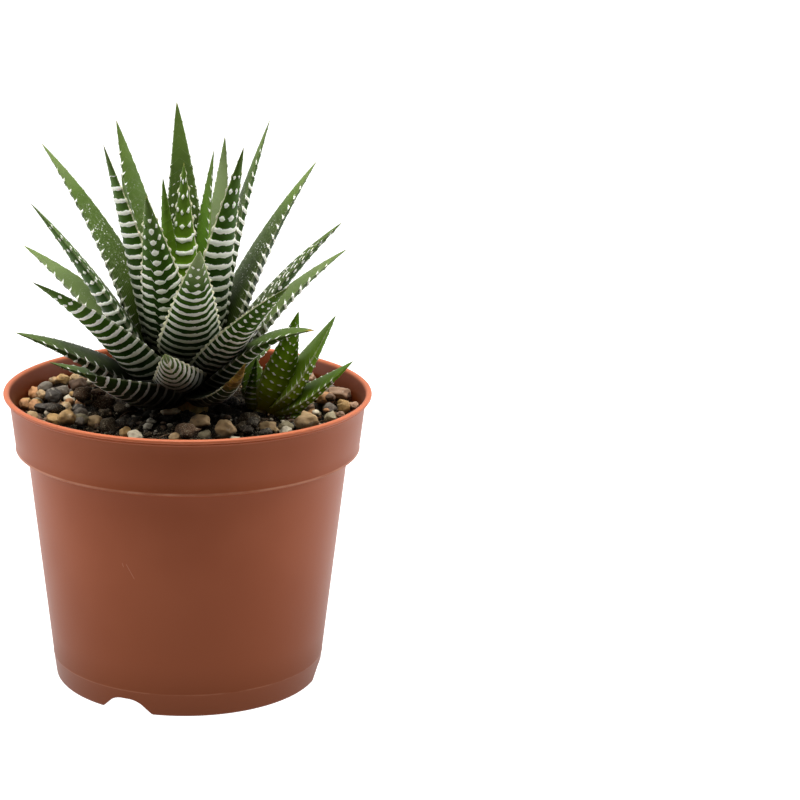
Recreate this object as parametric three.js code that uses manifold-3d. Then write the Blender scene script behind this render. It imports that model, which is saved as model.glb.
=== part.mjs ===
// Potted haworthia: a striped zebra haworthia with one offset, in a 10.5 cm plastic nursery pot.
// Millimetres, +Z up. The origin is the centre of the pot's foot, on the surface it stands on.
import * as THREE from "three";
import { mergeVertices } from "three/addons/utils/BufferGeometryUtils.js";
import Module from "manifold-3d";

const wasm = await Module();
wasm.setup();

// Driving dimensions of the pot.
const POT_HEIGHT = 85;
const RIM_RADIUS = 52.5;
const COLLAR_TOP_RADIUS = 50.7;
const COLLAR_FOOT_RADIUS = 49.2;
const COLLAR_FOOT_HEIGHT = 68.8;
const BODY_TOP_RADIUS = 46.1;
const FOOT_RADIUS = 38.6;
const WALL = 1.1;
const LIP_DEPTH = 3;
const FLOOR_HEIGHT = 4.8;
const POT_SEGMENTS = 36;
const NOTCH_WIDTH = 16;
const NOTCH_TOP_WIDTH = 7;
const NOTCH_HEIGHT = 4.2;
const NOTCH_CORNER = 1.6;
const NOTCH_DEPTH = 12;
const SLIT_RADIUS = 2;
const SLIT_LENGTH = 8;
const SLIT_INSET = 13;
const NOTCH_ANGLES = [-117, -10, 118];

// Driving dimensions of the fill.
const CLEARANCE = 0.3;
const LEAF_CLEARANCE = 0.42;
const SOIL_HEIGHT = 76;
const SOIL_LUMP = 0.9;
const SOIL_MOUND = 2.2;
const SOIL_RINGS = [7, 14, 21, 28, 36];
const MOUTH_MARGIN = 0.5;
const PEBBLE_RADIUS = 2.9;
const PEBBLE_PITCH = 2.2;
const PEBBLE_LIFT = 2.1;
const GRIT_THICKNESS = 2.6;
const BED_LIFT = 3.2;

// Beds of gravel along the wall: name, compass angle from and to, row radii, seed of the draw.
const BEDS = [
  ["pebbles_left", 146, 200, [44.6, 38.6, 33], 11],
  ["pebbles_right", -16, 42, [44.6, 38.6], 23],
  ["pebbles_back", 45, 143, [44.6], 37],
];

// Single stones on the open soil: x, y, radius.
const FRONT_PEBBLES = [
  [-26.5, -14, 3],
  [-16, -24, 2.9],
  [-6, -9.5, 2.7],
  [0.6, -9, 2.7],
  [2.9, -15.8, 3.1],
  [10, -19.8, 3.1],
  [4.6, -25, 2.7],
  [21.7, -19.4, 2.6],
  [27.3, -18.4, 2.4],
  [33.2, -15.4, 3.3],
  [-28, -29, 2.9],
  [18, -37, 3],
];

// Driving dimensions of the two plants. A level of 0 is the growing point and 1 the lowest ring.
const MAIN_CROWN = { x: -0.7, y: 2, top: 98, drop: 16, inner: 1.5, spread: 5.5, root: 70 };
const OFFSET_CROWN = { x: 21.4, y: 5, top: 80, drop: 3.4, inner: 1, spread: 2.6, root: 70 };
const LEAF_STATIONS = 19;
const WIDEST_AT = 0.25;
const FOOT_WIDTH = 0.7;
const TAPER_POWER = 0.85;
const THICKNESS = 0.55;
const FOOT_THICKENING = 0.35;
const UPPER_CROWN = 0.1;
const BAND_RELIEF = 0.35;
const TOOTH = 0.25;
const BANDS_FROM = 0.2;
const BANDS_TO = 0.95;
const TWIST_DONE_AT = 0.4;

// Each leaf: name, level, compass angle, lean at the foot, lean at the tip, length, width, twist.
// Angles are in degrees. A lean of 90 is upright, and a twist turns the face about the leaf's own axis.
const MAIN_LEAVES = [
  ["heart_leaf_1", 0, 8, 86, 81, 56, 10.5, 22],
  ["heart_leaf_2", 0, 210, 81, 85, 49, 9, 24],
  ["heart_leaf_3", 0.15, 259, 88, 90, 55, 11.5, -6],
  ["inner_leaf_1", 0.3, 51, 69, 85, 64, 14, -6],
  ["inner_leaf_2", 0.35, 240, 68, 73, 55, 16.5, 16],
  ["inner_leaf_3", 0.35, 313, 75, 71.5, 68, 14.3, -6],
  ["middle_leaf_1", 0.42, 275, 56, 41, 57, 17.5, 6],
  ["middle_leaf_2", 0.45, 103, 100, 68, 76, 16, -4],
  ["middle_leaf_3", 0.5, 207, 74, 71, 70.3, 15, 7],
  ["middle_leaf_4", 0.55, 125.5, 69, 63, 74.6, 15.5, 1],
  ["middle_leaf_5", 0.55, 34, 78, 64, 75, 14.5, -20],
  ["middle_leaf_6", 0.6, 80, 55, 45, 50, 14, 0],
  ["middle_leaf_7", 0.6, 167, 75, 78, 59.5, 14, -7],
  ["middle_leaf_8", 0.62, 262, 20, 31, 40, 14.8, 14],
  ["middle_leaf_9", 0.65, 304, 47, 32, 57, 14, -7],
  ["outer_leaf_1", 0.7, 149, 68, 44, 78, 14.5, -8],
  ["outer_leaf_2", 0.7, 34, 68, 43.5, 72.5, 17, -12],
  ["outer_leaf_3", 0.75, 190, 62.5, 47, 66.3, 18.5, -5],
  ["outer_leaf_4", 0.75, 341, 63, 40, 65, 16.5, 18],
  ["outer_leaf_5", 0.75, 112, 45, 35, 48, 14, 0],
  ["outer_leaf_6", 0.8, 12, 56, 29.5, 57, 15, 4],
  ["lower_leaf_1", 0.85, 225, 49, 27.5, 66, 16.5, 11],
  ["lower_leaf_2", 0.85, 153, 51, 25, 60, 15.5, -10],
  ["lower_leaf_3", 0.85, 55, 35, 20, 44, 14, 0],
  ["lower_leaf_4", 0.9, 138, 30, 12, 38, 13, 0],
  ["lowest_leaf_1", 0.88, 233, 16.5, 24.5, 42.5, 16.4, 22],
  ["lowest_leaf_2", 0.95, 321, 62, 6, 48.5, 16, 18],
  ["lowest_leaf_3", 0.95, 200, 38, 16.5, 49.3, 17.5, -11],
  ["lowest_leaf_4", 0.95, 90, 25, 12, 44, 13, 0],
  ["lowest_leaf_5", 0.78, 292.5, 2, 48, 41, 12, 12],
  ["lowest_leaf_6", 1, 48, 20, 8, 32, 12, 0],
  ["lowest_leaf_7", 1, 172, 20, 10, 34, 12, 0],
];
const OFFSET_LEAVES = [
  ["offset_leaf_1", 0.3, 325, 72, 70, 31, 16, -12],
  ["offset_leaf_2", 0.5, 345, 56, 57, 34.2, 16.5, 22],
  ["offset_leaf_3", 0.6, 190, 90, 95, 15, 9, 0],
  ["offset_leaf_4", 0.7, 110, 60, 60, 20, 9, 0],
  ["offset_leaf_5", 0.8, 346, 31, 39, 28.5, 13.5, 14],
  ["offset_leaf_6", 1, 330, 3, 9, 14.5, 7, 0],
];

// Colours of the finishes.
const COLOURS = {
  pot: 0x8a4a34,
  soil: 0x1c1714,
  pebble: 0xa88863,
  stem: 0x6f6a32,
  heart: 0x4f7d1c,
  leaf: 0x3f6b2e,
  offset: 0x4e8526,
};

const rad = THREE.MathUtils.degToRad;
const group = new THREE.Group();
group.name = "potted_haworthia";

// A seeded draw between 0 and 1, so that every run gives the same pebbles.
function makeDraw(seed) {
  let state = seed;
  return () => {
    state = (state * 1664525 + 1013904223) % 4294967296;
    return state / 4294967296;
  };
}

// A closed three.js geometry as a solid that can be joined and cut.
function toSolid(geometry) {
  const bare = geometry.clone();
  bare.deleteAttribute("normal");
  bare.deleteAttribute("uv");
  const merged = mergeVertices(bare, 1e-4);
  return new wasm.Manifold(
    new wasm.Mesh({
      numProp: 3,
      vertProperties: new Float32Array(merged.attributes.position.array),
      triVerts: new Uint32Array(merged.index.array),
    }),
  );
}

// A geometry from a list of points and triangles.
function fromPoints(points, triangles) {
  const geometry = new THREE.BufferGeometry();
  geometry.setAttribute("position", new THREE.Float32BufferAttribute(points.flat(), 3));
  geometry.setIndex(triangles.flat());
  return geometry;
}

// The largest connected body of a solid: a cut may leave a loose scrap.
function largestBody(solid) {
  return solid.decompose().reduce((best, body) => (body.volume() > best.volume() ? body : best));
}

function addMesh(name, solid, colour, roughness) {
  const { vertProperties, triVerts } = solid.getMesh();
  const geometry = new THREE.BufferGeometry();
  geometry.setAttribute("position", new THREE.BufferAttribute(vertProperties, 3));
  geometry.setIndex(new THREE.BufferAttribute(triVerts, 1));
  geometry.computeVertexNormals();
  const material = new THREE.MeshStandardMaterial({ color: colour, roughness, metalness: 0 });
  const mesh = new THREE.Mesh(geometry, material);
  mesh.name = name;
  group.add(mesh);
}

// A solid of revolution about +Z from [radius, height] points.
function turned(profile, segments = POT_SEGMENTS) {
  const points = profile.map(([r, z]) => new THREE.Vector2(r, z));
  return toSolid(new THREE.LatheGeometry(points, segments).rotateX(Math.PI / 2));
}

function bodyRadius(height) {
  return FOOT_RADIUS + ((BODY_TOP_RADIUS - FOOT_RADIUS) * height) / COLLAR_FOOT_HEIGHT;
}

function collarRadius(height) {
  const share = (height - COLLAR_FOOT_HEIGHT) / (POT_HEIGHT - LIP_DEPTH - COLLAR_FOOT_HEIGHT);
  return COLLAR_FOOT_RADIUS + (COLLAR_TOP_RADIUS - COLLAR_FOOT_RADIUS) * share;
}

// The pot: foot ring, tapered body, stepped collar and a beaded lip, as one moulded shell.
function makePot() {
  const step = COLLAR_FOOT_HEIGHT;
  const outside = [
    [0, FLOOR_HEIGHT],
    [FOOT_RADIUS - 3.2, FLOOR_HEIGHT],
    [FOOT_RADIUS - 2.6, 0],
    [FOOT_RADIUS - 0.5, 0],
    [FOOT_RADIUS, 0.7],
    [bodyRadius(6), 6],
    [bodyRadius(36), 36],
    [bodyRadius(step - 1.2), step - 1.2],
    [COLLAR_FOOT_RADIUS - 0.6, step - 0.5],
    [COLLAR_FOOT_RADIUS, step],
    [COLLAR_TOP_RADIUS, POT_HEIGHT - LIP_DEPTH],
    [RIM_RADIUS - 0.5, POT_HEIGHT - 2.4],
    [RIM_RADIUS - 0.4, POT_HEIGHT - 1.8],
    [RIM_RADIUS - 0.8, POT_HEIGHT - 1.5],
    [RIM_RADIUS, POT_HEIGHT - 1.1],
    [RIM_RADIUS - 0.4, POT_HEIGHT],
  ];
  const inside = [
    [RIM_RADIUS - 1.5, POT_HEIGHT],
    [RIM_RADIUS - 2.0, POT_HEIGHT - 0.7],
    [collarRadius(step + 1.5) - WALL, step + 1.5],
    [BODY_TOP_RADIUS - WALL, step - 0.4],
    [bodyRadius(36) - WALL, 36],
    [bodyRadius(FLOOR_HEIGHT + WALL) - WALL, FLOOR_HEIGHT + WALL],
    [0, FLOOR_HEIGHT + WALL],
  ];
  let pot = turned([...outside, ...inside]);
  for (const angle of NOTCH_ANGLES) pot = pot.subtract(makeNotch(angle));
  return pot;
}

// One drainage notch: a slot through the foot ring that narrows upwards to rounded corners,
// and its slit in the floor.
function makeNotch(angle) {
  const foot = NOTCH_WIDTH / 2;
  const top = NOTCH_TOP_WIDTH / 2;
  const below = -2;
  const flare = (foot - top) / NOTCH_HEIGHT;
  const slot = new THREE.Shape();
  slot.moveTo(-foot + flare * below, below);
  slot.lineTo(foot - flare * below, below);
  slot.lineTo(top + flare * NOTCH_CORNER, NOTCH_HEIGHT - NOTCH_CORNER);
  slot.quadraticCurveTo(top, NOTCH_HEIGHT, top - NOTCH_CORNER, NOTCH_HEIGHT);
  slot.lineTo(NOTCH_CORNER - top, NOTCH_HEIGHT);
  slot.quadraticCurveTo(-top, NOTCH_HEIGHT, -top - flare * NOTCH_CORNER, NOTCH_HEIGHT - NOTCH_CORNER);
  const through = new THREE.ExtrudeGeometry(slot, {
    depth: NOTCH_DEPTH,
    bevelEnabled: false,
    curveSegments: 2,
  });
  through.rotateX(Math.PI / 2).rotateZ(Math.PI / 2);
  through.translate(FOOT_RADIUS + 4 - NOTCH_DEPTH, 0, 0);
  const slit = new THREE.CapsuleGeometry(SLIT_RADIUS, SLIT_LENGTH, 2, 8).rotateZ(Math.PI / 2);
  slit.translate(FOOT_RADIUS - SLIT_INSET, 0, FLOOR_HEIGHT + WALL / 2);
  const turn = new THREE.Matrix4().makeRotationZ(rad(angle));
  return toSolid(through.applyMatrix4(turn)).add(toSolid(slit.applyMatrix4(turn)));
}

// Height of the soil: a low mound round the plants and lumps in the open middle,
// flat where the gravel beds lie.
function soilHeight(x, y) {
  const radius = Math.hypot(x, y);
  const open = 1 - THREE.MathUtils.smoothstep(radius, 24, 31);
  const middle = 1 - THREE.MathUtils.smoothstep(Math.abs(x), 18, 28);
  const front = THREE.MathUtils.smoothstep(-y, 18, 30) * middle;
  const lumps = Math.sin(0.55 * x + 1.3) * Math.cos(0.62 * y) + 0.6 * Math.sin(1.1 * x - 0.8 * y);
  const mound = SOIL_MOUND * (1 - THREE.MathUtils.smoothstep(radius, 5, 30));
  return SOIL_HEIGHT + mound + SOIL_LUMP * lumps * Math.max(open, front);
}

// The soil: it fills the pot up to a lumpy top, with a plain hole for each stem.
// A raised copy of it trims what lies on it.
function makeSoil(lift = 0) {
  const gap = WALL + CLEARANCE;
  const bottom = FLOOR_HEIGHT + WALL + CLEARANCE;
  const step = COLLAR_FOOT_HEIGHT;
  const wall = [
    [collarRadius(SOIL_HEIGHT) - gap - 0.2, SOIL_HEIGHT],
    [collarRadius(step + 1.5) - gap, step + 1.7],
    [BODY_TOP_RADIUS - gap, step - 0.1],
    [bodyRadius(36) - gap, 36],
    [bodyRadius(bottom) - gap, bottom],
  ];
  const points = [[0, 0, soilHeight(0, 0) + lift]];
  const triangles = [];
  const count = POT_SEGMENTS;
  const addRing = (radius, heightAt) => {
    for (let i = 0; i < count; i++) {
      const angle = (2 * Math.PI * i) / count + Math.PI / 2;
      const x = radius * Math.cos(angle);
      const y = radius * Math.sin(angle);
      points.push([x, y, heightAt(x, y)]);
    }
  };
  for (const radius of SOIL_RINGS) addRing(radius, (x, y) => soilHeight(x, y) + lift);
  wall.forEach(([radius, z], i) => addRing(radius, () => z + (i === 0 ? lift : 0)));
  const ringCount = SOIL_RINGS.length + wall.length;
  points.push([0, 0, bottom]);
  const at = (ring, i) => 1 + ring * count + (i % count);
  for (let i = 0; i < count; i++) {
    triangles.push([0, at(0, i), at(0, i + 1)]);
    for (let ring = 0; ring + 1 < ringCount; ring++) {
      triangles.push([at(ring, i), at(ring + 1, i), at(ring + 1, i + 1)]);
      triangles.push([at(ring, i), at(ring + 1, i + 1), at(ring, i + 1)]);
    }
    triangles.push([at(ringCount - 1, i), points.length - 1, at(ringCount - 1, i + 1)]);
  }
  return toSolid(fromPoints(points, triangles));
}

// A stem: a short cone that the leaf bases sit round, rooted in the soil.
function makeStem(crown, extra = 0) {
  const foot = crown.top - crown.drop;
  const collar = crown.inner + crown.spread;
  const profile = [
    [0, crown.root - extra],
    [collar * 0.8 + extra, crown.root - extra],
    [collar - 0.3 + extra, foot],
    [crown.inner - 0.2 + extra, crown.top - 0.6 + extra],
    [0, crown.top - 0.3 + extra],
  ];
  return turned(profile, 12).translate([crown.x, crown.y, 0]);
}

// Half width of a leaf along its length, as a share of its widest.
function leafOutline(s) {
  if (s < WIDEST_AT) return FOOT_WIDTH + (1 - FOOT_WIDTH) * Math.sin(((Math.PI / 2) * s) / WIDEST_AT);
  return ((1 - s) / (1 - WIDEST_AT)) ** TAPER_POWER;
}

// A leaf: six-sided sections along a spine that leans from one angle to the other.
// The outer face is crowned and carries raised bands, the upper face is nearly flat,
// and the edges have teeth where the bands end. A grown leaf is plain, and serves as a cutter.
function makeLeaf(crown, row, grown = false) {
  const [, level, compass, leanFoot, leanTip, length, width, twist] = row;
  const azimuth = rad(compass);
  const radius = crown.inner + crown.spread * level;
  const across = new THREE.Vector3(-Math.sin(azimuth), Math.cos(azimuth), 0);
  const along = new THREE.Vector3();
  const centre = new THREE.Vector3(
    crown.x + radius * Math.cos(azimuth),
    crown.y + radius * Math.sin(azimuth),
    crown.top - crown.drop * level,
  );
  const aim = (s) => {
    const lean = rad(leanFoot + (leanTip - leanFoot) * s);
    return along.set(
      Math.cos(lean) * Math.cos(azimuth),
      Math.cos(lean) * Math.sin(azimuth),
      Math.sin(lean),
    );
  };
  const points = [];
  const fine = Math.max(12, Math.round((LEAF_STATIONS * length) / 70));
  const stations = grown ? Math.max(9, Math.round(fine * 0.6)) : fine;
  for (let i = 0; i < stations; i++) {
    const s = i / stations;
    aim(s);
    const turn = rad(twist) * Math.min(1, s / TWIST_DONE_AT);
    const side = across.clone().applyAxisAngle(along, turn);
    const upper = along.clone().cross(side);
    const raised = !grown && i % 2 === 1 && s > BANDS_FROM && s < BANDS_TO;
    const half = (width / 2) * leafOutline(s) + (grown ? TOOTH + LEAF_CLEARANCE : 0) + (raised ? TOOTH : 0);
    const outer =
      THICKNESS * (width / 2) * leafOutline(s) +
      FOOT_THICKENING * (1 - s) +
      (grown ? BAND_RELIEF + LEAF_CLEARANCE : 0) +
      (raised ? BAND_RELIEF : 0);
    const inner = UPPER_CROWN * (width / 2) * leafOutline(s) + (grown ? LEAF_CLEARANCE : 0);
    const section = [
      [-half, grown ? LEAF_CLEARANCE / 2 : 0],
      [-0.55 * half, -0.8 * outer],
      [0, -outer],
      [0.55 * half, -0.8 * outer],
      [half, grown ? LEAF_CLEARANCE / 2 : 0],
      [0, inner],
    ];
    for (const [u, v] of section) {
      points.push(centre.clone().addScaledVector(side, u).addScaledVector(upper, v).toArray());
    }
    centre.addScaledVector(aim(s + 0.5 / stations), length / stations);
  }
  if (grown) centre.addScaledVector(aim(1), LEAF_CLEARANCE);
  points.push(centre.toArray());
  return toSolid(fromPoints(points, skin(stations, 6)));
}

// Triangles that close a run of rings with a flat foot and a pointed tip.
function skin(rings, sides) {
  const triangles = [];
  const tip = rings * sides;
  for (let i = 0; i + 1 < rings; i++) {
    for (let j = 0; j < sides; j++) {
      const a = i * sides + j;
      const b = i * sides + ((j + 1) % sides);
      triangles.push([a, b, b + sides], [a, b + sides, a + sides]);
    }
  }
  for (let j = 0; j < sides; j++) {
    triangles.push([tip - sides + j, tip - sides + ((j + 1) % sides), tip]);
  }
  for (let j = 1; j + 1 < sides; j++) triangles.push([0, j + 1, j]);
  return triangles;
}

// A pebble: a rounded stone, squashed and turned by the draw.
function makePebble(x, y, z, radius, draw) {
  const stone = new THREE.IcosahedronGeometry(radius, 0);
  stone.scale(0.9 + 0.35 * draw(), 0.85 + 0.25 * draw(), 0.75 + 0.2 * draw());
  stone.rotateX(0.6 * (draw() - 0.5)).rotateZ(2 * Math.PI * draw());
  return toSolid(stone.translate(x, y, z));
}

// The layer of grit that a bed's stones stand out of.
function makeGrit(fromAngle, toAngle, inner) {
  const outer = collarRadius(SOIL_HEIGHT) - WALL - CLEARANCE;
  const outline = new THREE.Shape();
  outline.absarc(0, 0, outer, rad(fromAngle), rad(toAngle), false);
  outline.absarc(0, 0, inner, rad(toAngle), rad(fromAngle), true);
  const layer = new THREE.ExtrudeGeometry(outline, {
    depth: GRIT_THICKNESS + 1,
    bevelEnabled: false,
    curveSegments: 5,
  });
  return toSolid(layer.translate(0, 0, SOIL_HEIGHT - 1));
}

// The room inside the collar above the soil, which whatever lies on the soil keeps within.
function makeMouth() {
  const inside = (height) => collarRadius(height) - WALL - CLEARANCE - MOUTH_MARGIN;
  return turned([
    [0, SOIL_HEIGHT - 2],
    [inside(SOIL_HEIGHT - 2), SOIL_HEIGHT - 2],
    [inside(POT_HEIGHT), POT_HEIGHT],
    [0, POT_HEIGHT],
  ]);
}

// A bed of gravel between two compass angles: rows of stones along the wall, grown into the grit.
function makeBed(fromAngle, toAngle, radii, seed) {
  const draw = makeDraw(seed);
  const pieces = [makeGrit(fromAngle, toAngle, Math.min(...radii) - PEBBLE_RADIUS)];
  for (const radius of radii) {
    const pitch = (PEBBLE_PITCH * PEBBLE_RADIUS) / radius;
    const inset = PEBBLE_RADIUS / radius;
    const count = Math.floor((rad(toAngle - fromAngle) - 2 * inset) / pitch);
    for (let i = 0; i <= count; i++) {
      const angle = rad(fromAngle) + inset + pitch * (i + 0.3 * draw());
      const r = radius + 0.8 * (draw() - 0.5);
      const z = SOIL_HEIGHT + BED_LIFT - 0.5 + draw();
      pieces.push(makePebble(r * Math.cos(angle), r * Math.sin(angle), z, PEBBLE_RADIUS, draw));
    }
  }
  return wasm.Manifold.union(pieces);
}

// The rosette and the offset. Leaves are laid from the heart outwards, and each one is cut back
// where the stem or an earlier leaf already is.
function layLeaves(crown, rows, taken, colourOf) {
  taken.push(makeStem(crown, CLEARANCE));
  for (const row of rows) {
    const blade = makeLeaf(crown, row);
    const free = largestBody(blade.subtract(wasm.Manifold.union(taken)));
    addMesh(row[0], free, colourOf(row), 0.5);
    taken.push(makeLeaf(crown, row, true));
  }
}

addMesh("pot", makePot(), COLOURS.pot, 0.45);
const taken = [];
layLeaves(MAIN_CROWN, MAIN_LEAVES, taken, ([, level]) => (level < 0.2 ? COLOURS.heart : COLOURS.leaf));
layLeaves(OFFSET_CROWN, OFFSET_LEAVES, taken, () => COLOURS.offset);
addMesh("stem", makeStem(MAIN_CROWN), COLOURS.stem, 0.7);
addMesh("offset_stem", makeStem(OFFSET_CROWN), COLOURS.stem, 0.7);

const plants = wasm.Manifold.union(taken);
addMesh("soil", largestBody(makeSoil().subtract(plants)), COLOURS.soil, 0.95);

// Gravel lies on the soil inside the collar, clear of the plants.
const mouth = makeMouth();
const ground = makeSoil(CLEARANCE).add(plants);
for (const [name, fromAngle, toAngle, radii, seed] of BEDS) {
  const bed = makeBed(fromAngle, toAngle, radii, seed).intersect(mouth).subtract(ground);
  addMesh(name, largestBody(bed), COLOURS.pebble, 0.8);
}
const draw = makeDraw(51);
FRONT_PEBBLES.forEach(([x, y, radius], i) => {
  const stone = makePebble(x, y, soilHeight(x, y) + PEBBLE_LIFT, radius, draw);
  addMesh(`front_pebble_${i + 1}`, largestBody(stone.intersect(mouth).subtract(ground)), COLOURS.pebble, 0.8);
});

export default group;
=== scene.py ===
"""Potted haworthia: a striped rosette with one offset, in soil and gravel in a plastic nursery pot.

The script loads the measured frame, puts a finely modelled piece over each of its nodes but the two stems,
which keep their frame meshes, dresses the pieces with procedural finishes, and sets a camera, soft light
and a pale floor.
Sizes are in millimetres and degrees unless a name says otherwise, and meshes are made in metres.
"""

from __future__ import annotations

import logging
import math
from collections.abc import Callable, Iterable, Mapping, Sequence
from dataclasses import dataclass, field
from enum import Enum

import bpy
import numpy as np
from mathutils import Matrix, Vector, noise

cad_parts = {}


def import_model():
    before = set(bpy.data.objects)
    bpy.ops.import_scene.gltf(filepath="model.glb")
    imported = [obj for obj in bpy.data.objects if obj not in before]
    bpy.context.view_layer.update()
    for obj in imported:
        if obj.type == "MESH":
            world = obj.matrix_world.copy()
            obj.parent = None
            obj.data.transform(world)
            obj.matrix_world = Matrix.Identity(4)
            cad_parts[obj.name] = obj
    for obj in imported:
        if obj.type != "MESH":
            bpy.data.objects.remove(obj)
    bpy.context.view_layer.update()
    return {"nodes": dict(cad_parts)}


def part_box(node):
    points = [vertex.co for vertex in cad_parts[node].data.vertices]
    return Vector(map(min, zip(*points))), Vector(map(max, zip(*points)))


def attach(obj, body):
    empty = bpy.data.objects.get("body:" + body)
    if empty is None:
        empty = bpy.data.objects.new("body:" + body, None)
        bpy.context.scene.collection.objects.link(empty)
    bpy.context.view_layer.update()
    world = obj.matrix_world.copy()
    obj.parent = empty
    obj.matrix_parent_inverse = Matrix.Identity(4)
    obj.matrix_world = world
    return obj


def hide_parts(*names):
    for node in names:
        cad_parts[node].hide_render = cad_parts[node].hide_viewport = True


log = logging.getLogger("haworthia")

MM = 0.001
AXIS_RING = 0.4
TINY = 1e-6
ROSETTE_AXIS = (-0.7, 2.0)
BODY = "root"

Triple = tuple[float, float, float]
Colour = tuple[float, float, float]
Pair = tuple[float, float]
Stops = tuple[tuple[float, Colour], ...]
Line = tuple[float, float, float, float]
Array = np.ndarray
Obj = bpy.types.Object
Material = bpy.types.Material
Laid = tuple[Array, Obj]


def hexed(code: str) -> Colour:
    """Turns a screen colour such as "8a4a34" into the linear red, green and blue of a material."""
    shares = [int(code[i : i + 2], 16) / 255 for i in (0, 2, 4)]
    return tuple(s / 12.92 if s <= 0.04045 else ((s + 0.055) / 1.055) ** 2.4 for s in shares)


def smoothstep(low: float, high: float, value: Array | float) -> Array:
    """Rises smoothly from 0 at low to 1 at high; low may be the larger."""
    share = np.clip((np.asarray(value, float) - low) / (high - low), 0, 1)
    return share * share * (3 - 2 * share)


# Shader building


def math_method(operation: str, number_first: bool = False) -> Callable[..., Value]:
    """Makes a method of Value that adds one Math node.

    Args:
        operation: the node's operation.
        number_first: whether a plain number stands before the value.

    Returns:
        The method.
    """

    def apply(self: Value, *others: Value | float) -> Value:
        """Adds the node over the value and what it meets."""
        operands = (*others, self) if number_first else (self, *others)
        return self.graph.value("ShaderNodeMath", {"operation": operation}, dict(enumerate(operands)))

    return apply


class Value:
    """A number in a material. Python's operators on it add the Math nodes."""

    def __init__(self, graph: Graph, socket: bpy.types.NodeSocket) -> None:
        """Wraps an output socket of a graph."""
        self.graph = graph
        self.socket = socket

    __add__ = math_method("ADD")
    __radd__ = math_method("ADD", number_first=True)
    __sub__ = math_method("SUBTRACT")
    __rsub__ = math_method("SUBTRACT", number_first=True)
    __mul__ = math_method("MULTIPLY")
    __rmul__ = math_method("MULTIPLY", number_first=True)
    __truediv__ = math_method("DIVIDE")
    __pow__ = math_method("POWER")
    __abs__ = math_method("ABSOLUTE")
    fraction = math_method("FRACT")
    cosine = math_method("COSINE")
    largest = math_method("MAXIMUM")

    def __neg__(self) -> Value:
        """Opposite."""
        return self * -1.0

    def step(self, low: float, high: float) -> Value:
        """Rises smoothly from 0 at low to 1 at high; low may be the larger.

        Args:
            low: the value that gives 0.
            high: the value that gives 1.

        Returns:
            A share from 0 to 1.
        """
        if low > high:
            return 1 - self.step(high, low)
        settings = {"interpolation_type": "SMOOTHSTEP"}
        return self.graph.value("ShaderNodeMapRange", settings, {0: self, 1: low, 2: high})


class Tint:
    """A colour in a material, kept apart from the numbers so that it meets only colour nodes."""

    def __init__(self, graph: Graph, socket: bpy.types.NodeSocket) -> None:
        """Wraps a colour output socket of a graph."""
        self.graph = graph
        self.socket = socket

    def mixed(self, other: Tint | Colour, share: Value | float) -> Tint:
        """Mixes in a share of another colour."""
        return self.graph.blend(self, other, share)


NodeInput = Value | Tint | float | Sequence[float]
Settings = Mapping[str, object]
Inputs = Mapping[int | str, NodeInput]


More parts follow.
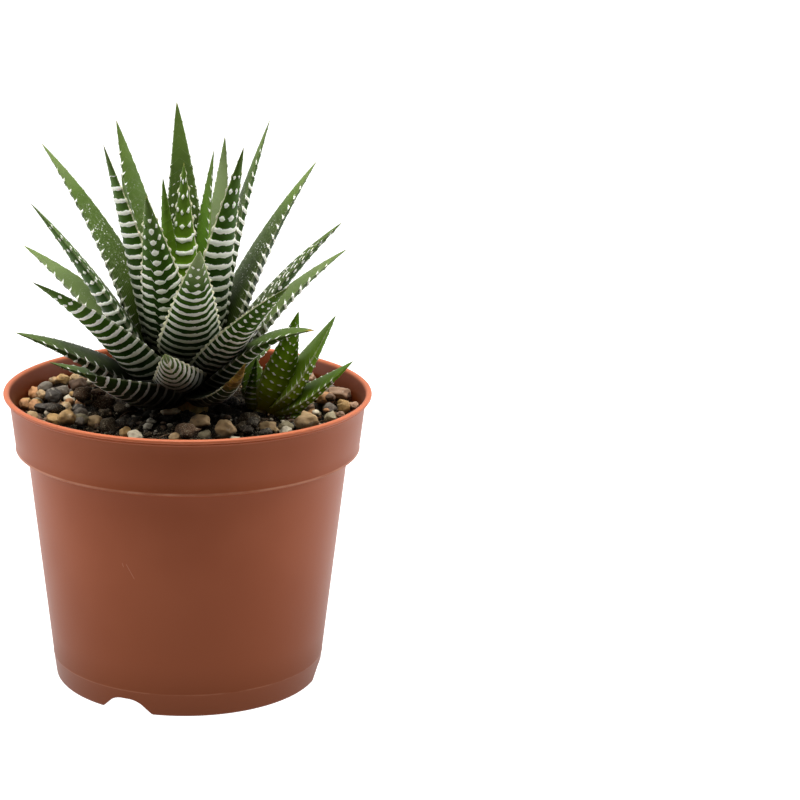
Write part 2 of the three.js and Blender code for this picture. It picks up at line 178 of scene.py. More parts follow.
class Graph:
    """The node tree of a material or a world, and the one method that adds its nodes."""

    def __init__(self, owner: Material | bpy.types.World) -> None:
        """Empties the owner's node tree.

        Args:
            owner: the material or world whose nodes are made.
        """
        owner.use_nodes = True
        self.owner = owner
        self.tree = owner.node_tree
        self.tree.nodes.clear()

    @classmethod
    def material(cls, name: str) -> Graph:
        """Starts a material."""
        return cls(bpy.data.materials.new(name))

    def node(
        self, kind: str, settings: Settings | None = None, inputs: Inputs | None = None
    ) -> bpy.types.Node:
        """Adds a node.

        Args:
            kind: the node's type.
            settings: its properties, set first; "stops" are a ramp's places and colours.
            inputs: values or links of its sockets, by name or number.

        Returns:
            The node.
        """
        made = self.tree.nodes.new(kind)
        for key, value in (settings or {}).items():
            if key == "stops":
                self._set_stops(made.color_ramp, value)
            else:
                setattr(made, key, value)
        for key, value in (inputs or {}).items():
            socket = made.inputs[key]
            if isinstance(value, (Value, Tint)):
                self.tree.links.new(value.socket, socket)
            elif socket.type == "RGBA":
                socket.default_value = (*value, 1.0)
            else:
                socket.default_value = value
        return made

    @staticmethod
    def _set_stops(ramp: bpy.types.ColorRamp, stops: Stops) -> None:
        """Replaces a ramp's stops.

        Args:
            ramp: the ramp.
            stops: the places and colours that it gets.
        """
        while len(ramp.elements) > 1:
            ramp.elements.remove(ramp.elements[-1])
        for i, (place, colour) in enumerate(stops):
            stop = ramp.elements[0] if i == 0 else ramp.elements.new(place)
            stop.position = place
            stop.color = (*colour, 1.0)

    def value(
        self,
        kind: str,
        settings: Settings | None = None,
        inputs: Inputs | None = None,
        output: int | str = 0,
    ) -> Value:
        """Adds a node and gives one of its outputs as a number."""
        return Value(self, self.node(kind, settings, inputs).outputs[output])

    def attribute(self, name: str) -> Value:
        """Reads a number that the mesh keeps at its points."""
        return self.value("ShaderNodeAttribute", {"attribute_name": name}, output="Fac")

    def attribute_tint(self, name: str) -> Tint:
        """Reads a colour that the mesh keeps at its points."""
        return Tint(self, self.node("ShaderNodeAttribute", {"attribute_name": name}).outputs["Color"])

    def coordinate(self, kind: str) -> Value:
        """A texture coordinate: "Object" is the point's own place in metres."""
        return self.value("ShaderNodeTexCoord", output=kind)

    def parts(self, vector: Value) -> list[Value]:
        """The x, y and z of a vector."""
        split = self.node("ShaderNodeSeparateXYZ", None, {0: vector})
        return [Value(self, part) for part in split.outputs]

    def coordinates(self) -> list[Value]:
        """The point's own x, y and z in millimetres."""
        return [part / MM for part in self.parts(self.coordinate("Object"))]

    def moved(self, offset: float, stretch: Triple = (1, 1, 1)) -> Value:
        """The point's own place, shifted and stretched."""
        inputs = {"Vector": self.coordinate("Object"), "Location": (offset,) * 3, "Scale": stretch}
        return self.value("ShaderNodeMapping", None, inputs)

    def gloom(self, reach: Pair = (29, 14), rise: Pair = (112, 90)) -> Value:
        """How deep a point lies in the dark between the leaf bases.

        Args:
            reach: distances from the axis where the dark starts and is full.
            rise: heights where the dark starts and is full.

        Returns:
            A share from 0 in the open to 1 at the rosette's foot.
        """
        x, y, z = self.coordinates()
        off_axis = ((x - ROSETTE_AXIS[0]) ** 2 + (y - ROSETTE_AXIS[1]) ** 2) ** 0.5
        return off_axis.step(*reach) * z.step(*rise)

    def cloud(
        self, size: float, detail: float = 3.0, stretch: Triple = (1, 1, 1), offset: float = 0.0
    ) -> Value:
        """A soft random field from about 0 to 1.

        Args:
            size: the size of its features in millimetres.
            detail: the number of finer layers.
            stretch: how much finer it is along each axis.
            offset: moves the field, so that two clouds differ.

        Returns:
            The field.
        """
        place = self.moved(offset, stretch)
        inputs = {"Vector": place, "Scale": 1 / (size * MM), "Detail": detail, "Roughness": 0.55}
        return self.value("ShaderNodeTexNoise", None, inputs)

    def specks(self, size: float) -> Value:
        """Distance to the nearest of many scattered points, in shares of their spacing."""
        inputs = {"Vector": self.moved(0.0), "Scale": 1 / (size * MM)}
        return self.value("ShaderNodeTexVoronoi", None, inputs, output="Distance")

    def ramp(self, share: Value, stops: Stops) -> Tint:
        """Colours along a share from 0 to 1."""
        return Tint(self, self.node("ShaderNodeValToRGB", {"stops": stops}, {0: share}).outputs[0])

    def blend(self, a: Tint | Colour, b: Tint | Colour, share: Value | float) -> Tint:
        """Mixes two colours."""
        settings = {"data_type": "RGBA", "clamp_factor": True}
        return Tint(self, self.node("ShaderNodeMix", settings, {0: share, 6: a, 7: b}).outputs[2])

    def bump(self, height: Value, strength: float, depth: float) -> Value:
        """Turns a height of 0 to 1, and its full depth in millimetres, into a bent normal."""
        inputs = {"Strength": strength, "Distance": depth * MM, "Height": height}
        return self.value("ShaderNodeBump", None, inputs)

    def close(
        self, colour: Tint, rough: Value | float, shine: float, others: Inputs | None = None
    ) -> Material:
        """Adds the surface shader and the output.

        Args:
            colour: the base colour.
            rough: the roughness.
            shine: the specular level.
            others: further inputs of the shader, by name.

        Returns:
            The material.
        """
        inputs = {"Base Color": colour, "Roughness": rough, "Specular IOR Level": shine, **(others or {})}
        surface = self.value("ShaderNodeBsdfPrincipled", None, inputs)
        self.node("ShaderNodeOutputMaterial", None, {"Surface": surface})
        return self.owner


# Finishes


SHADE = (0.002, 0.002, 0.001)
# Painted shade on the undersides of stones and crumbs.
UNDERSIDE_SHADE = (0.004, 0.003, 0.002)
SOIL_GLOOM = (24, 12)
SOIL_SHINE = 0.15


@dataclass(frozen=True)
class PotPlastic:
    """Thin moulded terracotta plastic: satin, faintly mottled, scratched, with painted highlights and
    painted shade.
    """

    body: Colour = hexed("8b492c")
    deep: Colour = hexed("803f23")
    # Painted shade colours: low and foot darken the lower body, inner the inside of the wall.
    low: Colour = hexed("70371a")
    inner: Colour = hexed("5a2508")
    foot: Colour = hexed("47220d")
    # worn lightens the scratches and the mould line and paints the ledge's highlight; lip is a painted
    # highlight.
    worn: Colour = hexed("b68168")
    lip: Colour = hexed("ba6846")
    roughness: float = 0.4
    shine: float = 0.12

    def make(self, pot: Pot) -> Material:
        """Builds the material.

        Args:
            pot: gives the heights of the ledge, the mould line and the lip.

        Returns:
            The material.
        """
        graph = Graph.material("pot_plastic")
        x, y, z = graph.coordinates()
        radius = (x * x + y * y) ** 0.5
        mottle = graph.cloud(size=34, detail=2)
        grain = graph.cloud(size=0.5, detail=2, offset=0.3)
        colour = graph.blend(self.body, self.deep, mottle.step(0.35, 0.7) * 0.5)
        # Painted shade: the body darkens towards the bottom, most near the foot.
        colour = colour.mixed(self.low, z.step(pot.ledge_height - 6, 5) * 0.9)
        colour = colour.mixed(self.foot, z.step(18, 0) * 0.3)
        # Painted shade: the inside of the wall above the ledge is darker.
        slope = (pot.collar_radius(pot.height) - pot.ledge_radius) / (pot.height - pot.ledge_height)
        inner_face = pot.ledge_radius - pot.wall + slope * (z - pot.ledge_height)
        room = (radius - inner_face).step(1.0, 0.7) * z.step(pot.ledge_height, pot.ledge_height + 2)
        colour = colour.mixed(self.inner, room * 0.95)
        # Painted highlight: the top of the lip is lighter and more orange.
        near_rim = radius.step(pot.rim_radius - 2.0, pot.rim_radius - 1.2)
        colour = colour.mixed(self.lip, z.step(pot.height - 2.4, pot.height - 0.4) * near_rim * 0.75)
        # Painted highlight: a patchy light line where the ledge's edge catches the light.
        ledge_highlight = radius.step(pot.ledge_radius - 0.9, pot.ledge_radius - 0.2)
        ledge_highlight = abs(z - pot.ledge_height).step(0.4, 0.08) * ledge_highlight
        patchy = graph.cloud(size=9, detail=3, offset=0.7).step(0.3, 0.62)
        colour = colour.mixed(self.worn, ledge_highlight * (0.3 + 0.4 * patchy))
        seam = abs(z - pot.mould_line).step(0.3, 0.05) * radius.step(pot.foot_radius - 1, pot.foot_radius)
        colour = colour.mixed(self.worn, seam * patchy * 0.15)
        for scratch in pot.scratches:
            colour = colour.mixed(self.worn, self._scratch(x, z, y, scratch))
        rough = self.roughness + 0.1 * mottle - 0.06 * grain
        fine = graph.bump(grain * 0.7 + graph.cloud(size=2.5, detail=2) * 0.3, strength=0.25, depth=0.05)
        return graph.close(colour, rough, self.shine, {"Normal": fine})

    @staticmethod
    def _scratch(x: Value, z: Value, y: Value, line: Line) -> Value:
        """A hair-thin light line on the front wall.

        Args:
            x: the point's place across the wall.
            z: its height.
            y: its depth, which keeps the line off the back.
            line: x and height of the line's two ends.

        Returns:
            How strongly the line shows at the point.
        """
        x0, z0, x1, z1 = line
        length = math.hypot(x1 - x0, z1 - z0)
        ux, uz = (x1 - x0) / length, (z1 - z0) / length
        along = (x - x0) * ux + (z - z0) * uz
        aside = abs((x - x0) * -uz + (z - z0) * ux)
        inside = along.step(-0.2, 0.3) * (length - along).step(-0.2, 0.5)
        return aside.step(0.14, 0.04) * inside * y.step(-20, -25) * 0.35


@dataclass(frozen=True)
class LeafFinish:
    """Waxy leaf skin: green between cream bands and dots, with pale horny margins."""

    slot: str
    outer: Stops
    upper: Stops
    cream: Colour = hexed("f8f7ee")
    cream_in_shade: Colour = hexed("7f8268")
    wax_and_light: Colour = hexed("b5c290")
    margin: Colour = hexed("dedab8")
    dry: Colour = hexed("5c4214")
    straw: Colour = hexed("a8843c")
    pale_skin: Colour = hexed("a9b98a")
    raised: Colour = hexed("b9bba6")
    tip: Colour = hexed("9a8a4a")
    # dark is the near-black of painted shade on leaves of low tone.
    dark: Colour = (0.002, 0.003, 0.001)
    roughness: float = 0.46
    shine: float = 0.09
    shaded: float = 0.93

    def make(self) -> Material:
        """Builds the material from the fields that a leaf keeps at its points.

        Returns:
            The material.
        """
        graph = Graph.material(self.slot)
        along = graph.attribute("along")
        across = abs(graph.attribute("across"))
        outer_side = graph.attribute("outer_side")
        merge = graph.attribute("merge")
        soft = graph.cloud(size=2.6, detail=3)
        fine = graph.cloud(size=0.8, detail=2, offset=0.4)
        rows = graph.attribute("rows") + 0.24 * (soft - 0.5)
        off_centre = abs(rows.fraction() - 0.5)
        beads = 0.5 + 0.5 * (graph.attribute("wave") + 3.5 * (soft - 0.5)).cosine()
        width = graph.attribute("reach") * (merge + (1 - merge) * beads) * (0.66 + 0.68 * fine)
        band = (width - off_centre).step(-0.012, 0.035)

        green = graph.blend(graph.ramp(along, self.upper), graph.ramp(along, self.outer), outer_side)
        green = green.mixed((0, 0, 0), graph.cloud(size=7, detail=3, offset=0.9).step(0.35, 0.75) * 0.22)
        # This per-leaf tone pales the green towards the wax colour above 0, partly the leaf's own waxy
        # bloom and partly painted light, and below 0 is painted shade on leaves that lie in shade.
        tone = graph.attribute("tone")
        green = green.mixed(self.wax_and_light, tone.largest(0))
        green = green.mixed(self.dark, (-tone).largest(0))
        veins = graph.attribute("across") * 60.0
        green = green.mixed((1, 1, 0.6), veins.cosine().step(0.2, 1.0) * (1 - outer_side) * 0.035)
        speck_zone = graph.attribute("specks")
        pale = graph.cloud(size=0.8, detail=4, offset=1.7).step(0.5, 0.62) * speck_zone
        green = green.mixed(self.pale_skin, pale * 0.12)
        dots = graph.specks(0.85).step(0.3, 0.16) * speck_zone
        dots = dots * graph.cloud(size=3.2, detail=1, offset=2.3).step(0.42, 0.58)
        # Painted shade: the cream of bands and dots darkens towards the leaf's foot.
        cream = graph.blend(self.cream_in_shade, self.cream, along.step(0.08, 0.55))
        colour = green.mixed(cream, dots * 0.75)
        core = (width - off_centre).step(0.03, 0.16)
        colour = colour.mixed(cream.mixed(self.raised, core * 0.25), band)
        rim = (across + 0.12 * outer_side).step(0.925, 0.975) * along.step(0.04, 0.2)
        rim = rim * (0.35 + 0.65 * fine.step(0.3, 0.6))
        colour = colour.mixed(self.margin, rim * graph.attribute("margin"))
        keel = across.step(0.06, 0.02) * outer_side * graph.attribute("keel")
        colour = colour.mixed(self.margin, keel)
        dry = (graph.attribute("dry") + 0.7 * (fine - 0.5)).step(0.4, 0.75)
        colour = colour.mixed(graph.blend(self.dry, self.straw, soft.step(0.4, 0.65)), dry * 0.9)
        colour = colour.mixed(self.tip, along.step(0.975, 0.997) * 0.6)
        # Painted shade: leaves of very low tone darken as a whole, bands too, except where dry.
        colour = colour.mixed(self.dark, (-tone - 0.5).largest(0) * 1.6 * (1 - dry))
        # Painted shade: points deep among the leaf bases darken to near black.
        depth = graph.gloom().largest(graph.gloom(reach=(38, 21), rise=(99, 86)))
        colour = colour.mixed(SHADE, depth * self.shaded)
        rough = self.roughness + 0.12 * band + 0.1 * (soft - 0.5)
        others = {
            "Normal": graph.bump(band * 0.7 + dots * 0.5 + fine * 0.2, strength=0.45, depth=0.12),
            "Subsurface Weight": 0.06,
            "Subsurface Radius": (0.6, 1.0, 0.25),
            "Subsurface Scale": MM,
        }
        return graph.close(colour, rough, self.shine, others)


@dataclass(frozen=True)
class StoneFinish:
    """Water-worn pebbles: each keeps its own colour, with pores, stains and pale veins."""

    stain: Colour = hexed("4a3a2c")
    vein: Colour = hexed("d8cdb8")
    pore: Colour = (0.01, 0.008, 0.006)

    def make(self) -> Material:
        """Builds the material.

        Returns:
            The material.
        """
        graph = Graph.material("gravel")
        cloud = graph.cloud(size=2.4, detail=5)
        grain = graph.cloud(size=0.45, detail=3, offset=0.6)
        colour = graph.attribute_tint("stone").mixed(self.stain, cloud.step(0.48, 0.74) * 0.5)
        veins = graph.cloud(size=1.6, detail=4, offset=1.4).step(0.58, 0.72)
        colour = colour.mixed(self.vein, veins * 0.35)
        colour = colour.mixed(self.pore, grain.step(0.62, 0.72) * 0.4)
        # Painted shade: the stone's lower part darkens.
        colour = colour.mixed(UNDERSIDE_SHADE, graph.attribute("under") * 0.85)
        relief = graph.bump(grain * 0.6 + cloud * 0.4, strength=0.5, depth=0.2)
        return graph.close(colour, 0.55 + 0.3 * grain, 0.3, {"Normal": relief})


@dataclass(frozen=True)
class SoilFinish:
    """Moist black potting mix with brown fibre and grey crumbs."""

    dark: Colour = hexed("120d08")
    brown: Colour = hexed("3c2f20")
    grey: Colour = hexed("a39679")

    def make(self) -> Material:
        """Builds the material.

        Returns:
            The material.
        """
        graph = Graph.material("soil")
        lumps = graph.cloud(size=2.2, detail=6)
        grain = graph.cloud(size=0.6, detail=4, offset=0.5)
        colour = graph.blend(self.dark, self.brown, lumps.step(0.45, 0.75))
        colour = colour.mixed(self.grey, grain.step(0.56, 0.7) * 0.7)
        colour = colour.mixed(self.grey, graph.cloud(size=0.35, detail=2, offset=2.1).step(0.6, 0.68) * 0.6)
        # Painted shade: the soil under the rosette darkens to near black.
        colour = colour.mixed(SHADE, graph.gloom(reach=SOIL_GLOOM) * 0.9)
        relief = graph.bump(grain * 0.6 + lumps * 0.4, strength=0.9, depth=0.5)
        return graph.close(colour, 0.75 + 0.2 * grain, SOIL_SHINE, {"Normal": relief})


@dataclass(frozen=True)
class CrumbFinish:
    """Bark, clods and chips: each crumb keeps its own colour, with a fibrous grain."""

    fibre: Colour = (0.006, 0.004, 0.003)
    grain: Colour = hexed("b3a88e")

    def make(self) -> Material:
        """Builds the material.

        Returns:
            The material.
        """
        graph = Graph.material("crumbs")
        fibre = graph.cloud(size=1.0, detail=4, stretch=(1, 2.4, 1))
        grain = graph.cloud(size=0.35, detail=3, offset=0.8)
        colour = graph.attribute_tint("stone").mixed(self.fibre, fibre.step(0.48, 0.7) * 0.6)
        # Painted shade: the crumb's lower part darkens.
        colour = colour.mixed(UNDERSIDE_SHADE, graph.attribute("under") * 0.8)
        colour = colour.mixed(self.grain, grain.step(0.56, 0.66) * 0.6)
        # Painted shade: crumbs under the rosette darken to near black.
        colour = colour.mixed(SHADE, graph.gloom(reach=SOIL_GLOOM) * 0.9)
        relief = graph.bump(fibre * 0.5 + grain * 0.5, strength=0.8, depth=0.35)
        return graph.close(colour, 0.7 + 0.25 * grain, SOIL_SHINE, {"Normal": relief})


@dataclass(frozen=True)
class StemFinish:
    """The short stem between the leaf bases: olive-brown, fibrous."""

    olive: Colour = hexed("5d5526")
    brown: Colour = hexed("8a6a34")
    shine: float = 0.5

    def make(self) -> Material:
        """Builds the material.

        Returns:
            The material.
        """
        graph = Graph.material("stem")
        fibre = graph.cloud(size=1.4, detail=4, stretch=(1, 1, 0.3))
        colour = graph.blend(self.olive, self.brown, fibre.step(0.3, 0.7))
        relief = graph.bump(fibre, strength=0.5, depth=0.3)
        return graph.close(colour, 0.6 + 0.2 * fibre, self.shine, {"Normal": relief})


@dataclass(frozen=True)
class FloorFinish:
    """A glowing white table whose sweep ends in the dark in front of the plant, at the given depths."""

    colour: Colour = (0.3, 0.3, 0.3)
    shade: Colour = (0.1, 0.1, 0.1)
    glow: Colour = (1.12, 1.12, 1.12)
    sweep_ends: float = -220.0
    sweep_fades: float = -110.0

    def make(self) -> Material:
        """Builds the material.

        Returns:
            The material.
        """
        graph = Graph.material("studio_floor")
        lit = graph.coordinates()[1].step(self.sweep_ends, self.sweep_fades)
        glow = {"Emission Color": graph.blend((0, 0, 0), self.glow, lit), "Emission Strength": 1.0}
        return graph.close(graph.blend(self.shade, self.colour, lit), 0.9, 0.0, glow)


# Work with objects


def deselect() -> None:
    """Deselects every object."""
    bpy.ops.object.select_all(action="DESELECT")


def pick(*objects: Obj) -> None:
    """Selects only these objects, with the first one active.

    Args:
        objects: what is selected.
    """
    deselect()
    for obj in objects:
        obj.select_set(True)
    bpy.context.view_layer.objects.active = objects[0]


def newest(name: str) -> Obj:
    """Names the object that an operator has just added, and its mesh.

    Args:
        name: their name.

    Returns:
        The object.
    """
    obj = bpy.context.active_object
    obj.name = obj.data.name = name
    return obj


def settle(obj: Obj) -> Obj:
    """Puts an object's place into its mesh, so that the object sits at the origin.

    Args:
        obj: the object.

    Returns:
        The same object.
    """
    obj.data.transform(obj.matrix_world)
    obj.matrix_world = Matrix.Identity(4)
    return obj


def join(objects: Sequence[Obj], name: str) -> Obj:
    """Joins objects into the first one and names it.

    Args:
        objects: what is joined.
        name: the name of the whole.

    Returns:
        The joined object.
    """
    for obj in objects:
        settle(obj)
    pick(*objects)
    if len(objects) > 1:
        bpy.ops.object.join()
    return newest(name)


def points_of(obj: Obj) -> Array:
    """Reads an object's vertices.

    Args:
        obj: the object.

    Returns:
        A row of x, y, z for each vertex.
    """
    flat = np.empty(len(obj.data.vertices) * 3, np.float32)
    obj.data.vertices.foreach_get("co", flat)
    return flat.reshape(-1, 3).astype(float)


def move_points(obj: Obj, places: Array) -> None:
    """Writes an object's vertices back."""
    obj.data.vertices.foreach_set("co", np.asarray(places, np.float32).ravel())
    obj.data.update()


def keep_field(obj: Obj, name: str, values: Array) -> None:
    """Keeps a number at each of a mesh's points."""
    kept = obj.data.attributes.new(name, "FLOAT", "POINT")
    kept.data.foreach_set("value", np.asarray(values, np.float32))


def keep_colour(obj: Obj, name: str, colour: Colour) -> None:
    """Keeps one colour at all of a mesh's points."""
    kept = obj.data.attributes.new(name, "FLOAT_COLOR", "POINT")
    kept.data.foreach_set("color", np.tile(np.array([*colour, 1.0], np.float32), len(obj.data.vertices)))


def dress(
    obj: Obj, material: Material, stands_for: Sequence[str] = (), crease: float | None = None
) -> Obj:
    """Finishes a piece and ties it to the frame.

    Args:
        obj: the piece.
        material: its finish.
        stands_for: the frame's nodes that it replaces.
        crease: edges sharper than this angle stay sharp; without it all are smooth.

    Returns:
        The piece.
    """
    settle(obj)
    obj.data.materials.clear()
    obj.data.materials.append(material)
    pick(obj)
    if crease is None:
        bpy.ops.object.shade_smooth()
    else:
        bpy.ops.object.shade_smooth_by_angle(angle=math.radians(crease))
    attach(obj, BODY)
    if stands_for:
        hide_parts(*stands_for)
    nodes = ", ".join(stands_for) or "no node"
    log.info("%s: %d faces, stands for %s", obj.name, len(obj.data.polygons), nodes)
    return obj


def turn_profile(name: str, profile: Sequence[Pair], segments: int) -> Obj:
    """Turns a profile about the upright axis: a circle is drawn out ring by ring, closed at both ends.

    Args:
        name: the object's name.
        profile: radius and height of each ring, in millimetres.
        segments: the number of sides.

    Returns:
        The closed shell.
    """
    deselect()
    radius, height = profile[0]
    bpy.ops.mesh.primitive_circle_add(
        vertices=segments, radius=radius * MM, fill_type="NGON", location=(0, 0, height * MM)
    )
    obj = newest(name)
    settle(obj)
    bpy.ops.object.mode_set(mode="EDIT")
    bpy.ops.mesh.select_all(action="SELECT")
    for (r0, z0), (r1, z1) in zip(profile, profile[1:]):
        bpy.ops.mesh.extrude_region_move(TRANSFORM_OT_translate={"value": (0, 0, (z1 - z0) * MM)})
        scale = r1 / r0
        bpy.ops.transform.resize(value=(scale, scale, 1), center_override=(0, 0, z1 * MM))
    bpy.ops.mesh.select_all(action="SELECT")
    bpy.ops.mesh.normals_make_consistent(inside=False)
    bpy.ops.object.mode_set(mode="OBJECT")
    return obj


# The pot


@dataclass
class Pot:
    """A round nursery pot: foot ring with three notches, tapered body, stepped collar, beaded lip."""

    height: float = 85.0
    rim_radius: float = 52.5
    ledge_height: float = 68.8
    ledge_radius: float = 49.2
    collar_top_radius: float = 50.7
    body_top_radius: float = 46.1
    foot_radius: float = 38.6
    wall: float = 1.1
    floor_height: float = 4.8
    mould_line: float = 6.8
    notch_width: float = 16.0
    notch_top_width: float = 7.0
    notch_height: float = 4.2
    notch_angles: tuple[float, ...] = (-117.0, -10.0, 118.0)
    notch_depth: float = 12.0
    notch_corner: float = 2.2
    slit_radius: float = 2.0
    slit_inset: float = 13.0
    segments: int = 180
    corner_segments: int = 6
    slit_stretch: Triple = (3.0, 1.0, 1.6)
    crease: float = 32.0
    scratches: tuple[Line, ...] = ((-17.1, 46.0, -14.8, 41.7), (-18.2, 46.2, -17.8, 44.9))
    body_rings: tuple[float, ...] = (14.0, 24.0, 34.0, 44.0, 54.0, 62.0)
    collar_rings: tuple[float, ...] = (72.0, 76.0, 80.0)
    inner_collar_rings: tuple[float, ...] = (82.0, 79.0, 76.0, 73.0)
    inner_body_rings: tuple[float, ...] = (50.0, 30.0, 12.0)
    foot_bead: tuple[Pair, ...] = (
        (-2.5, 0.35), (-2.2, 0.06), (-1.9, 0.0), (-0.8, 0.0), (-0.35, 0.12), (-0.08, 0.45), (0, 0.9),
    )
    ledge_bead: tuple[Pair, ...] = (
        (-0.7, -0.62), (-0.15, -0.5), (0.12, -0.28), (0.1, -0.02), (0, 0.3),
    )
    lip_bead: tuple[Pair, ...] = (
        (-1.0, -1.95), (-0.7, -1.75), (-0.62, -1.5), (-0.72, -1.3), (-0.66, -1.15), (-0.25, -1.0),
        (-0.04, -0.8), (0, -0.55), (-0.1, -0.27), (-0.38, -0.06), (-0.75, 0), (-1.15, -0.04),
        (-1.5, -0.2), (-1.8, -0.6), (-2.0, -1.2),
    )

    def body_radius(self, height: float) -> float:
        """Outer radius of the tapered body at a height."""
        return self.foot_radius + (self.body_top_radius - self.foot_radius) * height / self.ledge_height

    def collar_radius(self, height: float) -> float:
        """Outer radius of the collar at a height."""
        share = (height - self.ledge_height) / (self.height - 3 - self.ledge_height)
        return self.ledge_radius + (self.collar_top_radius - self.ledge_radius) * share

    def inner_radius(self, height: float) -> float:
        """Radius of the room inside the collar at a height."""
        return self.collar_radius(height) - self.wall

    def profile(self) -> list[Pair]:
        """The closed section, from the middle of the floor's underside round to its top.

        Returns:
            Radius and height of each ring.
        """
        foot, step, top, rim = self.foot_radius, self.ledge_height, self.height, self.rim_radius
        line, under = self.mould_line, self.floor_height
        over = under + self.wall
        outside = [(AXIS_RING, under), (foot - 3.4, under), (foot - 2.9, under - 0.3)]
        outside += [(foot + aside, height) for aside, height in self.foot_bead]
        outside += [
            (self.body_radius(line - 0.25) + 0.02, line - 0.25),
            (self.body_radius(line) + 0.08, line),
            (self.body_radius(line + 0.2), line + 0.22),
        ]
        outside += [(self.body_radius(z), z) for z in self.body_rings]
        outside += [
            (self.body_radius(step - 1.9), step - 1.9),
            (self.body_radius(step - 1.3) + 0.1, step - 1.3),
            (self.body_radius(step) + 0.7, step - 0.9),
        ]
        outside += [(self.ledge_radius + aside, step + rise) for aside, rise in self.ledge_bead]
        outside += [(self.collar_radius(z), z) for z in (*self.collar_rings, top - 2.5)]
        outside.append((self.collar_radius(top - 2.1) + 0.08, top - 2.1))
        lip = [(rim + aside, top + rise) for aside, rise in self.lip_bead]
        inside = [(self.inner_radius(z), z) for z in (*self.inner_collar_rings, step + 1.8)]
        inside += [
            (self.inner_radius(step + 0.9) - 0.3, step + 1.0),
            (self.body_top_radius - self.wall + 0.4, step - 0.1),
            (self.body_top_radius - self.wall, step - 0.8),
        ]
        inside += [(self.body_radius(z) - self.wall, z) for z in (*self.inner_body_rings, over + 0.6)]
        inside += [(self.body_radius(under) - self.wall - 0.6, over), (AXIS_RING, over)]
        return outside + lip + inside

    def notch(self, angle: float) -> Obj:
        """A cutter for a drainage notch: a rounded slot through the foot ring, and its slit in the floor.

        Args:
            angle: where it stands round the pot.

        Returns:
            The cutter.
        """
        turn = Matrix.Rotation(math.radians(angle), 4, "Z")
        deselect()
        bpy.ops.mesh.primitive_cube_add(size=1)
        slot = newest("notch_cutter")
        corners = points_of(slot)
        slope = (self.notch_width - self.notch_top_width) / self.notch_height
        width = np.where(corners[:, 2] > 0, self.notch_top_width, self.notch_width + slope * 2)
        size = np.broadcast_arrays(self.notch_depth, width, self.notch_height + 2)
        move_points(slot, corners * np.stack(size, -1) * MM)
        middle = (self.foot_radius * MM, 0, (self.notch_height / 2 - 1) * MM)
        slot.data.transform(turn @ Matrix.Translation(middle))
        rounded = slot.modifiers.new("rounded", "BEVEL")
        rounded.width, rounded.segments = self.notch_corner * MM, self.corner_segments
        pick(slot)
        bpy.ops.object.modifier_apply(modifier=rounded.name)
        deselect()
        bpy.ops.mesh.primitive_uv_sphere_add(segments=24, ring_count=12, radius=self.slit_radius * MM)
        slit = newest("slit_cutter")
        middle = ((self.foot_radius - self.slit_inset) * MM, 0, (self.floor_height + self.wall / 2) * MM)
        stretch = Matrix.Diagonal((*self.slit_stretch, 1))
        slit.data.transform(turn @ Matrix.Translation(middle) @ stretch)
        return join([slot, slit], "notch_cutter")

    def build(self, finish: PotPlastic) -> Obj:
        """Turns the shell, cuts its notches and dresses it.

        Args:
            finish: the plastic.

        Returns:
            The pot.
        """
        shell = turn_profile("pot_shell", self.profile(), self.segments)
        for angle in self.notch_angles:
            cutter = self.notch(angle)
            cut = shell.modifiers.new("cut", "BOOLEAN")
            cut.object, cut.operation, cut.solver = cutter, "DIFFERENCE", "EXACT"
            cut.use_self = True
            pick(shell)
            bpy.ops.object.modifier_apply(modifier=cut.name)
            bpy.data.objects.remove(cutter)
        return dress(shell, finish.make(self), ["pot"], self.crease)


# The leaves


@dataclass(frozen=True)
class Marking:
    """How a leaf is banded: rows of raised white dots that merge into bands lower down.

    Places along the leaf and across it are shares, the pitch of the rows is in millimetres, and the
    pairs of ticks and margin hold the strengths at the leaf's left and right margin.
    """

    pitch: float = 2.7
    vee: float = 0.35
    seam: float = 0.1
    shift: float = 0.2
    split: Pair = (0.5, 0.72)
    begins: float = 0.06
    ends: float = 0.93
    thick: float = 0.23
    ticks: Pair = (1.0, 1.0)
    ticks_end: float = 1.1
    inner_dots: float = 0.0
    specks: float = 0.6
    margin: Pair = (0.15, 0.15)
    keel: float = 0.0
    beads: float = 2.0
    bare: float = 0.0
    lopsided: float = 0.0
    one_sided: float = 0.0
    wrap: float = 0.0
    column: float = 0.0
    # Per-leaf tone and tone at the tip: above 0 paler, partly waxy bloom and partly painted light; below 0
    # painted shade.
    tone: float = 0.0
    tip_tone: float = 0.0
    dry_from: float = 2.0


@dataclass(frozen=True)
class Pattern:
    """What the markings of all leaves share: zones along and across the leaf, and strengths, as shares."""

    crowding: float = 0.25
    fade: float = 0.1
    thick_foot: float = 1.08
    thinning: float = 0.35
    bow: float = 0.8
    bow_power: float = 1.3
    far_side: Pair = (0.2, -0.6)
    oval_reach: float = 0.3
    oval_width: float = 0.9
    beside_column: Pair = (1.0, 1.35)
    band_merge: float = 0.8
    merge_fall: float = 1.15
    tick_from: float = 0.7
    tick_rise: float = 0.3
    tick_reach: float = 0.15
    dot_reach: float = 0.15
    dot_merge: float = -0.6
    dots_start: Pair = (0.25, 0.38)
    dots_clear: float = 0.25
    specks_start: Pair = (0.32, 0.46)
    specks_end: Pair = (0.78, 0.64)
    pale_starts: Pair = (0.08, 0.3)
    pale_ends: Pair = (1.02, 0.8)
    tip_zone: Pair = (0.66, 0.9)
    keel_zone: Pair = (0.66, 0.8)
    dry_blur: float = 0.12
    spill: float = 0.04
    slope: float = 0.2
    upper_relief: float = 0.4
    relief_ends: Pair = (1.0, 0.93)
    tooth_zone: Pair = (0.86, 1.0)


